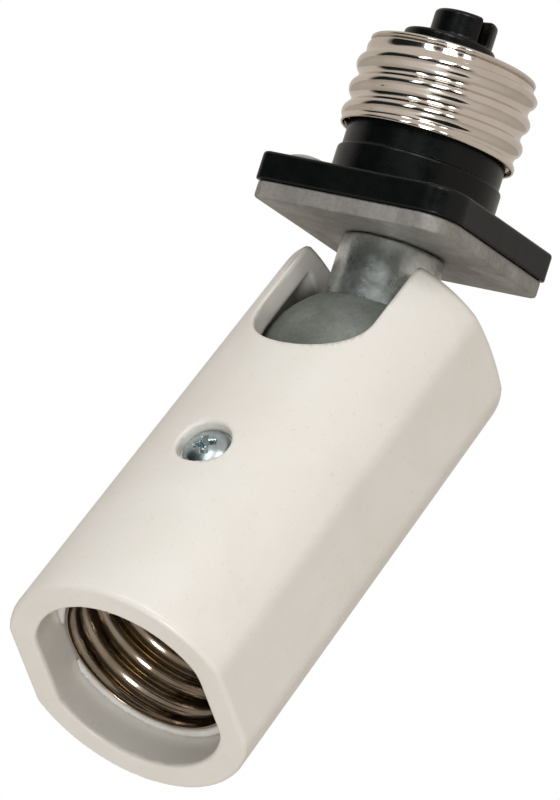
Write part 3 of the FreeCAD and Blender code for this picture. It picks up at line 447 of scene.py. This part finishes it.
def cast_metal(name, dark, light, rough_low, rough_high, grain, metallic=1.0, seed=0.0):
    material = new_material(name, metallic=metallic)
    clouds = noise(material, 170, detail=6, rough=0.6, offset=seed, warp=0.4)
    flecks = noise(material, 1500, detail=3, offset=seed + 0.3)
    colour = ramp(material, clouds, dark, light)
    shade = ramp(material, flecks, (0.78, 0.78, 0.78), WHITE, high=0.65)
    feed(material, "Base Color", multiply(material, 0.8, colour, shade))
    feed(material, "Roughness", spread(material, noise(material, 420, detail=5, offset=seed + 0.6),
                                       rough_low, rough_high))
    relief(material, [(noise(material, 260, detail=4, offset=seed + 1.1), grain * 3),
                      (flecks, grain)])
    return material


def nickel_plate(name, dark, light, rough_low, rough_high):
    material = new_material(name, metallic=1.0)
    haze = noise(material, 90, detail=5, warp=0.5)
    lines = noise(material, 1, detail=5, rough=0.6, stretch=(60, 60, 2600))
    feed(material, "Base Color", ramp(material, haze, dark, light))
    feed(material, "Roughness", spread(material, haze, rough_low, rough_high))
    relief(material, [(noise(material, 300, detail=2, offset=0.4), 0.02), (lines, 0.004)])
    return material


nickel = nickel_plate("nickel_plate", (0.62, 0.56, 0.50), (0.76, 0.71, 0.655), 0.07, 0.13)
# the same nickel plate, darkened with painted shade for the lamp's shell deep inside the holder
nickel_painted_shade = nickel_plate("nickel_plate_painted_shade", (0.30, 0.245, 0.19), (0.46, 0.39, 0.32),
                             0.12, 0.20)

phenolic = new_material("black_phenolic_moulded", Specular_IOR_Level=0.22)
phenolic_cloud = noise(phenolic, 140, detail=6, warp=0.3)
feed(phenolic, "Base Color", ramp(phenolic, phenolic_cloud,
                                  (0.0015, 0.0022, 0.0026), (0.004, 0.005, 0.0052)))
feed(phenolic, "Roughness", spread(phenolic, noise(phenolic, 500, detail=5, offset=0.2),
                                   0.22, 0.34))
relief(phenolic, [(noise(phenolic, 330, detail=3, offset=0.7), 0.03),
                  (noise(phenolic, 2200, detail=3, offset=0.9), 0.006)])

glaze = new_material("cream_glazed_ceramic", Coat_Weight=0.3, Coat_Roughness=0.2)
glaze_cloud = noise(glaze, 55, detail=5, rough=0.6, warp=0.6)
glaze_specks = noise(glaze, 1700, detail=2, rough=0.5, offset=0.5)
glaze_base = ramp(glaze, glaze_cloud, (0.765, 0.742, 0.692), (0.825, 0.81, 0.772))
glaze_marks = ramp(glaze, glaze_specks, (0.90, 0.875, 0.84), WHITE, low=0.27, high=0.36)
feed(glaze, "Base Color", multiply(glaze, 0.7, glaze_base, glaze_marks))
feed(glaze, "Roughness", spread(glaze, noise(glaze, 240, detail=4, offset=0.3), 0.33, 0.46))
relief(glaze, [(noise(glaze, 60, detail=2, offset=0.8), 0.10),
               (noise(glaze, 600, detail=3, offset=1.4), 0.010)])

steatite = new_material("white_steatite")
feed(steatite, "Base Color", ramp(steatite, noise(steatite, 260, detail=6),
                                  (0.66, 0.66, 0.64), (0.78, 0.78, 0.76)))
feed(steatite, "Roughness", spread(steatite, noise(steatite, 700, detail=4), 0.45, 0.6))
relief(steatite, [(noise(steatite, 900, detail=4, offset=0.3), 0.02)])

zinc_plate = cast_metal("cast_zinc_plate", (0.30, 0.295, 0.28), (0.46, 0.45, 0.43),
                        0.56, 0.72, 0.010, metallic=0.85, seed=0.0)
zinc_ball = cast_metal("cast_zinc_ball", (0.185, 0.208, 0.19), (0.28, 0.305, 0.282),
                       0.50, 0.66, 0.010, metallic=0.6, seed=2.0)
zinc_stem = cast_metal("cast_zinc_stem", (0.36, 0.40, 0.395), (0.70, 0.73, 0.71),
                       0.24, 0.38, 0.024, metallic=0.92, seed=4.0)
zinc_bright = cast_metal("zinc_plated_steel_bright", (0.36, 0.45, 0.48), (0.58, 0.66, 0.68),
                         0.20, 0.34, 0.006, seed=6.0)
brass = cast_metal("contact_brass_strip", (0.50, 0.36, 0.16), (0.68, 0.52, 0.26),
                   0.24, 0.40, 0.006, seed=8.0)

fibre = new_material("friction_fibre_washer")
fibre_grain = noise(fibre, 900, detail=6, stretch=(1, 1, 3))
feed(fibre, "Base Color", ramp(fibre, fibre_grain, (0.10, 0.06, 0.04), (0.20, 0.13, 0.08)))
feed(fibre, "Roughness", spread(fibre, fibre_grain, 0.7, 0.85))
relief(fibre, [(fibre_grain, 0.04)])

silicone = new_material("lead_silicone")
silicone_haze = noise(silicone, 500, detail=4)
feed(silicone, "Base Color", ramp(silicone, silicone_haze,
                                  (0.60, 0.58, 0.54), (0.70, 0.68, 0.64)))
feed(silicone, "Roughness", spread(silicone, silicone_haze, 0.5, 0.62))
relief(silicone, [(silicone_haze, 0.02)])

# finishes by material slot, for the CAD nodes that no piece stands for
FINISHES = {
    "nickel_plated_brass": nickel,
    "black_phenolic": phenolic,
    "contact_brass": brass,
    "die_cast_zinc": zinc_plate,
    "stem_zinc": zinc_stem,
    "zinc_plated_steel": zinc_bright,
    "lead_insulation": silicone,
    "cream_ceramic": glaze,
    "white_ceramic": steatite,
    "friction_fibre": fibre,
}
for node, cad in frame["nodes"].items():
    cad.data.materials.clear()
    cad.data.materials.append(FINISHES[slots[node]])

# ------------------------------------------------------------------ screw shells


def knuckle(distance):
    """Depth below the crest of a rolled thread, at a distance along the axis."""
    half = PITCH / 2
    bend = (half * half + DEPTH * DEPTH) / (4 * DEPTH)
    along = np.abs((distance + half) % PITCH - half)
    crest = np.sqrt(np.maximum(bend * bend - along * along, 0)) - bend
    root = -DEPTH + bend - np.sqrt(np.maximum(bend * bend - (half - along) ** 2, 0))
    return np.where(along < PITCH / 4, crest, root)


def ease(value, start, end):
    """A share that rises smoothly from 0 to 1 between start and end."""
    t = np.clip((value - start) / (end - start), 0, 1)
    return t * t * (3 - 2 * t)


def sweep(name, outline, place, body, node, material):
    """Turn a closed outline about Z. outline(angle) gives its (radius, height) points."""
    angles = np.linspace(0, 2 * math.pi, SHELL_COLUMNS, endpoint=False)
    rings = [outline(a) for a in angles]
    rows = len(rings[0])
    points = np.concatenate([
        np.stack([ring[:, 0] * math.cos(a), ring[:, 0] * math.sin(a), ring[:, 1]], 1)
        for ring, a in zip(rings, angles)])
    i = np.arange(SHELL_COLUMNS)[:, None]
    j = np.arange(rows)[None, :]
    beside, above = (i + 1) % SHELL_COLUMNS, (j + 1) % rows
    faces = np.stack([i * rows + j, beside * rows + j, beside * rows + above, i * rows + above], -1)
    put(name, points, faces.reshape(-1, 4), None, place, body, node, material)


def arc(x, z, radius, start, end, count):
    """Points of an arc in an outline, from one angle in degrees to another."""
    turns = np.radians(np.linspace(start, end, count))
    return np.stack([x + radius * np.cos(turns), z + radius * np.sin(turns)], 1)


def base_wall(angle, heights):
    """Outer radius of the upper shell: the thread, fading to plain at both ends."""
    thread = BASE_CREST + knuckle(heights + BASE_THREAD_SHIFT - PITCH * angle / (2 * math.pi))
    rise = ease(heights, 0.2, 1.5)
    fall = 1 - ease(heights, SHELL_TOP - 2.6, SHELL_TOP - 0.7)
    plain = np.where(heights < BASE_TOE, BASE_CREST - 0.3, BASE_CREST - 1.0)
    return plain + rise * fall * (thread - plain)


def base_outline(angle):
    """The upper shell cut through: up the thread, over the rim, and back down inside."""
    heights = np.arange(0.15, SHELL_TOP - 0.9, BASE_STEP)
    radii = base_wall(angle, heights)
    groove = np.array([[BASE_CREST - 1.32, SHELL_TOP - 0.86], [BASE_CREST - 1.36, SHELL_TOP - 0.76]])
    bead = arc(BEAD_OUT, SHELL_TOP - BEAD_RAD, BEAD_RAD, -60, 90, 12)
    rim = np.concatenate([groove, bead])
    lip = np.array([[SHOULDER_RAD + 1.2, SHELL_TOP], [SHOULDER_RAD + 0.1, SHELL_TOP],
                    [SHOULDER_RAD + 0.1, SHELL_TOP - WALL],
                    [BASE_CREST - 1.7, SHELL_TOP - WALL],
                    [BASE_CREST - 1.4, SHELL_TOP - WALL - 0.2]])
    inner = np.stack([radii - WALL, heights], 1)[::-1]
    foot = np.array([[radii[0] - WALL, 0.05], [radii[0] - 0.2, 0.0], [radii[0] - 0.06, 0.02]])
    return np.concatenate([np.stack([radii, heights], 1), rim, lip, inner, foot])


sweep("screw_shell_rolled", base_outline, in_row, "base", "screw_base_shell", nickel)


def lamp_outline(angle):
    """The lamp's shell cut through: a turned mouth, the thread, a floor, and back inside."""
    start = CORE_MOUTH + 0.1
    heights = np.arange(start + 0.5, CORE_FLOOR - 0.4, LAMP_STEP)
    thread = LAMP_CREST + knuckle(heights - PITCH * angle / (2 * math.pi))
    plain = LAMP_CREST - RUNNING_GAP
    radii = plain + ease(heights, start + 0.4, start + 2.0) * (thread - plain)
    flare = arc(LAMP_CREST - 0.2, start + 0.32, 0.16, 180, 360, 7)
    floor = np.array([[LAMP_CREST - 0.4, CORE_FLOOR - 0.05], [SHELL_HOLE_RAD, CORE_FLOOR - 0.05],
                      [SHELL_HOLE_RAD, CORE_FLOOR - 0.35], [LAMP_CREST - 0.9, CORE_FLOOR - 0.35]])
    inner = np.stack([radii - WALL, heights], 1)[::-1]
    return np.concatenate([flare, np.stack([radii, heights], 1), floor, inner])


# the lamp's shell takes the nickel plate darkened with painted shade
sweep("lamp_shell_rolled", lamp_outline, in_holder, "holder", "lamp_screw_shell", nickel_painted_shade)

# ------------------------------------------------------------------ base


def rhombus(x, y, inset=0.0):
    """A square flange seen from above, its tips on X and its rounder corners on Y."""
    long, short = FLANGE_LONG - inset, FLANGE_SHORT - inset
    span = math.hypot(long, short)

    def side(u, v):
        return (u * short + v * long - long * short) / span

    ax, ay = np.abs(x), np.abs(y)
    tips = both(side(ax, y), side(ax, -y), TIP_ROUND)
    sides = both(side(x, ay), side(-x, ay), SIDE_ROUND)
    return np.maximum(tips, sides)


def insulator_shape(x, y, z):
    """The moulding from flange to nose, hollow under the neck for the leads."""
    r = np.hypot(x, y)
    body = both(r - NECK_LOWER, z - NECK_STEP, 0.5)
    body = join(body, both(r - NECK_UPPER, z - (SHELL_TOP - WALL), 0.2))
    body = join(body, both(r - SHOULDER_RAD, z - SHELL_TOP, 0.1))
    collar = np.hypot(x - COLLAR_X, y - COLLAR_Y) - COLLAR_RAD
    body = join(body, both(collar, z - SHOULDER_TOP, 0.5))
    nose = both(r - NOSE_RAD, z - NOSE_TOP, 0.7)
    across = y * math.cos(NOSE_SLOT_TURN) - x * math.sin(NOSE_SLOT_TURN)
    slot = both(np.abs(across) - NOSE_SLOT / 2, SHOULDER_TOP - z)
    body = join(body, less(nose, slot, 0.35), 0.4)
    flange = both(rhombus(x, y), between(z, FLANGE_BOTTOM - 5, FLANGE_TOP), 0.55)
    body = join(body, flange, 0.35)
    body = both(body, FLANGE_BOTTOM - z, 0.2)
    cavity = both(r - CAVITY_RAD, z - CAVITY_TOP)
    hole = both(r - WIRE_HOLE, z - (SHOULDER_TOP - 1.0))
    body = less(body, join(cavity, hole), 0.2)
    pin = both(r - NOSE_PIN_RAD, z - (SHOULDER_TOP + 0.65))
    return less(body, pin, 0.05)


carve("insulator_moulding", insulator_shape,
      low=(-23.7, -24.1, -13.3), high=(23.7, 24.1, NOSE_TOP + 0.7), step=0.33,
      place=in_flange, body="base", node="base_insulator", material=phenolic)


def plate_shape(x, y, z):
    body = both(rhombus(x, y, PLATE_INSET), between(z, PLATE_BOTTOM, FLANGE_BOTTOM), 0.45)
    return less(body, np.hypot(x, y) - JOURNAL_RAD - RUNNING_GAP, 0.2)


carve("zinc_plate_casting", plate_shape,
      low=(-23.5, -24, -16), high=(23.5, 24, -11.5), step=0.42,
      place=in_flange, body="base", node="base_plate", material=zinc_plate)


def driver_cross(x, y, depth, width, length):
    """A cross recess: two slots that cross and grow narrower and shorter with depth."""
    half = width * (1 - 0.25 * depth)
    reach = length - depth * 1.1
    along_y = both(np.abs(x) - half, np.abs(y) - reach, 0.1)
    along_x = both(np.abs(y) - half, np.abs(x) - reach, 0.1)
    return np.minimum(along_y, along_x)


def pan_head(x, y, z, radius, height):
    """A domed screw head on z = 0 with a cross recess."""
    r = np.hypot(x, y)
    rise = height * 0.6
    bulge = (radius * radius + rise ** 2) / (2 * rise)
    dome = np.sqrt(x * x + y * y + (z - height + bulge) ** 2) - bulge
    head = both(r - radius, dome, height * 0.3)
    head = both(head, -z, 0.1)
    depth = height - z
    recess = both(driver_cross(x, y, np.clip(depth, 0, 2), 0.52, radius * 0.58),
                  depth - height * 0.75, 0.1)
    return less(head, recess, 0.12)


def plate_screws_shape(x, y, z):
    u = np.abs(x) - SCREW_OFFSET
    head = pan_head(u, y, z - FLANGE_TOP, PLATE_HEAD, PLATE_HEAD_HEIGHT)
    shank = both(np.hypot(u, y) - PLATE_SCREW,
                 between(z, FLANGE_BOTTOM - 1.8, FLANGE_TOP + 0.3), 0.1)
    return join(head, shank, 0.05)


carve("plate_screw_pair", plate_screws_shape,
      low=(-20, -4, -15), high=(20, 4, -6.4), step=0.24,
      place=in_flange, body="base", node="plate_screws", material=zinc_bright)

# ------------------------------------------------------------------ stem and ball


def stem_shape(x, y, z):
    r = np.hypot(x, y)
    barrel = both(r - STEM_RAD, between(z, STEM_END, STEM_TOP), 0.35)
    journal = both(r - JOURNAL_RAD, between(z, STEM_END + 2, STEM_HIGH), 0.3)
    groove = both(RING_GROOVE_RAD - r, between(z, *RING_GROOVE))
    body = less(join(barrel, journal), groove)
    return less(body, r - WIRE_HOLE, 0.2)


def ball_shape(x, y, z):
    """The ball with flats on X, a seat for the stem, and a slot that the leads swing in."""
    h = z - ball_centre.z / MM
    r = np.hypot(x, y)
    ball = np.sqrt(x * x + y * y + h * h) - BALL_RAD
    ball = both(ball, np.abs(x) - BALL_FLAT, 0.5)
    seat = both(r - STEM_RAD - RUNNING_GAP, STEM_END - z)
    ball = less(ball, seat, 0.35)
    bore = both(r - WIRE_HOLE, -1 - h)
    first = y * math.cos(BALL_SLOT_LOW) - h * math.sin(BALL_SLOT_LOW)
    last = -y * math.cos(BALL_SLOT_HIGH) + h * math.sin(BALL_SLOT_HIGH)
    sector = both(np.abs(x) - BALL_SLOT, np.maximum(first, last))
    chamber = both(np.hypot(y, h) - BALL_CHAMBER_RAD, np.abs(x) - BALL_SLOT)
    return less(ball, np.minimum(np.minimum(bore, sector), chamber), 0.2)


carve("stem_turned", stem_shape,
      low=(-8.5, -8.5, -29), high=(8.5, 8.5, STEM_HIGH + 1), step=0.3,
      place=in_row, body="stem", node="swivel_stem", material=zinc_stem)
carve("pivot_ball_casting", ball_shape,
      low=(-14.2, -15.2, -52.0), high=(14.2, 15.2, -21.5), step=0.33,
      place=in_row, body="stem", node="pivot_ball", material=zinc_ball)

# ------------------------------------------------------------------ lamp holder


def casing_shape(x, y, z):
    """A double-D tube with a domed top, open at the mouth, slotted from top to front."""
    r = np.hypot(x, y)
    shrink = (z - MOUTH) * DRAFT
    body = both(r - CASING_RAD + shrink, np.abs(x) - CASING_FLAT + shrink, 0.4)
    dome = np.sqrt(x * x + y * y + np.maximum(z - DOME_APEX + DOME_RAD, 0) ** 2) - DOME_RAD
    body = both(body, dome, 1.0)
    body = both(body, MOUTH - z, 0.8)
    bore = both(both(r - BORE_RAD, np.abs(x) - BORE_FLAT, 0.4), z - BORE_TOP, 0.5)
    seat = np.sqrt(x * x + y * y + z * z) - SEAT_RAD
    body = less(body, np.minimum(bore, seat), 0.5)
    from_above = np.hypot(x, np.maximum(y, 0)) - SLOT_HALF
    from_front = np.hypot(x, np.minimum(z, 0)) - SLOT_HALF
    opening = np.maximum(from_above, from_front)
    body = less(body, opening, 0.55)
    around_screw = np.hypot(x, z - SCREW_HEIGHT)
    pocket = both(around_screw - COUNTERBORE, y + COUNTERBORE_FLOOR)
    body = less(body, pocket, 0.5)
    return less(body, both(around_screw - SCREW_WAY, y + 10), 0.1)


carve("casing_glazed", casing_shape,
      low=(-19.2, -20.4, -62.6), high=(19.2, 20.4, 17.8), step=0.56,
      place=in_holder, body="holder", node="casing", material=glaze)


def casing_screw_shape(x, y, z):
    outward = -y - COUNTERBORE_FLOOR
    u = x * math.cos(HEAD_TURN) + (z - SCREW_HEIGHT) * math.sin(HEAD_TURN)
    v = -x * math.sin(HEAD_TURN) + (z - SCREW_HEIGHT) * math.cos(HEAD_TURN)
    head = pan_head(u, v, outward, HEAD_RAD, HEAD_HEIGHT)
    shank = both(np.hypot(u, v) - CASING_SCREW, between(outward, 6.0 - COUNTERBORE_FLOOR, 0.3), 0.1)
    return join(head, shank, 0.05)


carve("casing_screw_headed", casing_screw_shape,
      low=(-4.2, -19, SCREW_HEIGHT - 4.2), high=(4.2, -5.5, SCREW_HEIGHT + 4.2), step=0.17,
      place=in_holder, body="holder", node="casing_screw", material=zinc_bright)


def core_shape(x, y, z):
    """The fired core: the pocket of the lamp's shell below, the wiring chamber above."""
    r = np.hypot(x, y)
    body = both(r - INSERT_RAD, np.abs(x) - INSERT_FLAT, 0.3)
    body = both(body, between(z, CORE_MOUTH, CORE_TOP), 0.45)
    pocket = both(r - POCKET_RAD, z - CORE_FLOOR)
    windows = both(between(np.abs(x), *WINDOW), np.abs(y) - WINDOW_HALF)
    pocket = np.minimum(pocket, both(windows, z - CORE_FLOOR))
    body = less(body, pocket, 0.3)
    chamber = both(both(np.abs(x) - CHAMBER_HALF, between(y, *CHAMBER_DEPTH), 0.4),
                   CHAMBER_FLOOR - z)
    nut_slot = both(both(np.abs(x) - NUT_HALF, between(y, *NUT_DEPTH)),
                    SCREW_HEIGHT - NUT_DROP - z)
    screw_way = both(np.hypot(x, z - SCREW_HEIGHT) - SCREW_WAY, y + 4)
    body = less(body, np.minimum(np.minimum(chamber, nut_slot), screw_way), 0.2)
    for hole_x, hole_y in RIVET_HOLES:
        hole = np.hypot(x - hole_x, y - hole_y) - RIVET_HOLE_RAD
        body = less(body, both(hole, between(z, -38, -30)))
    return body


carve("socket_core_fired", core_shape,
      low=(-15.0, -15.8, CORE_MOUTH - 1), high=(15.0, 15.8, CORE_TOP + 1), step=0.5,
      place=in_holder, body="holder", node="socket_core", material=steatite)

# ------------------------------------------------------------------ stage and light
# From here on lengths are in metres. The adapter hangs well clear of the floor.

FLOOR_HEIGHT = -0.75
FLOOR_CORNERS = ((-9, -9), (9, -9), (9, 9), (-9, 9))

floor_paint = new_material("floor_paint", roughness=0.8)
feed(floor_paint, "Base Color", ramp(floor_paint, noise(floor_paint, 3, detail=2),
                                     (0.80, 0.79, 0.77), (0.83, 0.82, 0.80)))
floor_mesh = bpy.data.meshes.new("floor")
floor_mesh.from_pydata([(x, y, FLOOR_HEIGHT) for x, y in FLOOR_CORNERS], [], [(0, 1, 2, 3)])
floor_mesh.materials.append(floor_paint)
floor = bpy.data.objects.new("floor", floor_mesh)
bpy.context.scene.collection.objects.link(floor)

LIGHT_DISTANCE = 1.1
middle = (cad_low + cad_high) / 2


def direction(azimuth, elevation):
    """A unit vector that points out at two angles in radians."""
    flat = math.cos(elevation)
    return Vector((math.cos(azimuth) * flat, math.sin(azimuth) * flat, math.sin(elevation)))


def area_light(name, azimuth, elevation, width, height, strength):
    """A soft light that faces the middle of the adapter from two angles in degrees."""
    lamp = bpy.data.lights.new(name, "AREA")
    lamp.shape = "RECTANGLE"
    lamp.size = width
    lamp.size_y = height
    lamp.energy = strength
    light = bpy.data.objects.new(name, lamp)
    bpy.context.scene.collection.objects.link(light)
    outward = direction(math.radians(azimuth), math.radians(elevation))
    light.location = middle + outward * LIGHT_DISTANCE
    light.rotation_mode = "QUATERNION"
    light.rotation_quaternion = outward.to_track_quat("Z", "Y")


area_light("key", azimuth=-65, elevation=36, width=0.30, height=0.52, strength=3.4)
area_light("side_strip", azimuth=-96, elevation=32, width=0.17, height=0.44, strength=1.4)
area_light("right_strip", azimuth=-40, elevation=33, width=0.13, height=0.40, strength=0.9)
area_light("low_key", azimuth=-66, elevation=-30, width=0.20, height=0.30, strength=3.8)

# The camera sees a white room. All else mirrors, and is lit by, a beige one with a dark
# gap in its walls on the side away from WALL_SIDE, below the ceiling.
ROOM_BEIGE = (0.63, 0.58, 0.53)
ROOM_GAP = (0.012, 0.018, 0.018)
WALL_SIDE = math.radians(84)
GAP_END, WALL_START = 0.24, 0.34
GAP_TOP, CEILING_START = 0.45, 0.62

world = bpy.data.worlds.new("studio")
bpy.context.scene.world = world
world.use_nodes = True
tree = world.node_tree
tree.nodes.clear()


def world_node(kind, **values):
    node = tree.nodes.new(kind)
    for key, value in values.items():
        setattr(node, key, value)
    return node


coords = world_node("ShaderNodeTexCoord")
facing = world_node("ShaderNodeVectorMath", operation="DOT_PRODUCT")
facing.inputs[1].default_value = direction(WALL_SIDE, 0)
turned_to = world_node("ShaderNodeMapRange")
turned_to.inputs["From Min"].default_value = -1
turned_to.inputs["From Max"].default_value = 1
walls = ramp(world, turned_to.outputs["Result"], ROOM_GAP, ROOM_BEIGE, GAP_END, WALL_START)
upness = world_node("ShaderNodeSeparateXYZ")
ceiling = world_node("ShaderNodeMapRange")
ceiling.inputs["From Min"].default_value = GAP_TOP
ceiling.inputs["From Max"].default_value = CEILING_START
room = world_node("ShaderNodeMix", data_type="RGBA")
room.inputs[MIX_B].default_value = (*ROOM_BEIGE, 1)
room_light = world_node("ShaderNodeBackground")
white_light = world_node("ShaderNodeBackground")
white_light.inputs["Color"].default_value = (*WHITE, 1)
rays = world_node("ShaderNodeLightPath")
choose = world_node("ShaderNodeMixShader")
result = world_node("ShaderNodeOutputWorld")
for a, b in (
        (coords.outputs["Generated"], facing.inputs[0]),
        (facing.outputs["Value"], turned_to.inputs["Value"]),
        (coords.outputs["Generated"], upness.inputs["Vector"]),
        (upness.outputs["Z"], ceiling.inputs["Value"]),
        (ceiling.outputs["Result"], room.inputs["Factor"]),
        (walls, room.inputs[MIX_A]),
        (room.outputs[MIX_RESULT], room_light.inputs["Color"]),
        (rays.outputs["Is Camera Ray"], choose.inputs[0]),
        (room_light.outputs["Background"], choose.inputs[1]),
        (white_light.outputs["Background"], choose.inputs[2]),
        (choose.outputs["Shader"], result.inputs["Surface"])):
    tree.links.new(a, b)

# ------------------------------------------------------------------ camera

camera = bpy.data.cameras.new("camera")
camera.sensor_width = 36
camera.lens = 540
camera.clip_start = 0.05
camera.clip_end = 50
camera_object = bpy.data.objects.new("camera", camera)
bpy.context.scene.collection.objects.link(camera_object)
CAMERA_AZIMUTH = math.radians(-56.3)
CAMERA_ELEVATION = math.radians(-9.4)
CAMERA_ROLL = math.radians(17.65)
CAMERA_DISTANCE = 1.690
CAMERA_AIM = Vector((-0.0078, -0.0044, -0.0407))
away = direction(CAMERA_AZIMUTH, CAMERA_ELEVATION)
level = away.cross(Vector((0, 0, 1))).normalized() * -1
upward = away.cross(level)
right = level * math.cos(CAMERA_ROLL) + upward * math.sin(CAMERA_ROLL)
up = away.cross(right)
rotation = Matrix((right, up, away)).transposed().to_4x4()
camera_object.matrix_world = Matrix.Translation(CAMERA_AIM + away * CAMERA_DISTANCE) @ rotation
bpy.context.scene.camera = camera_object
bpy.context.scene.view_settings.view_transform = "Standard"
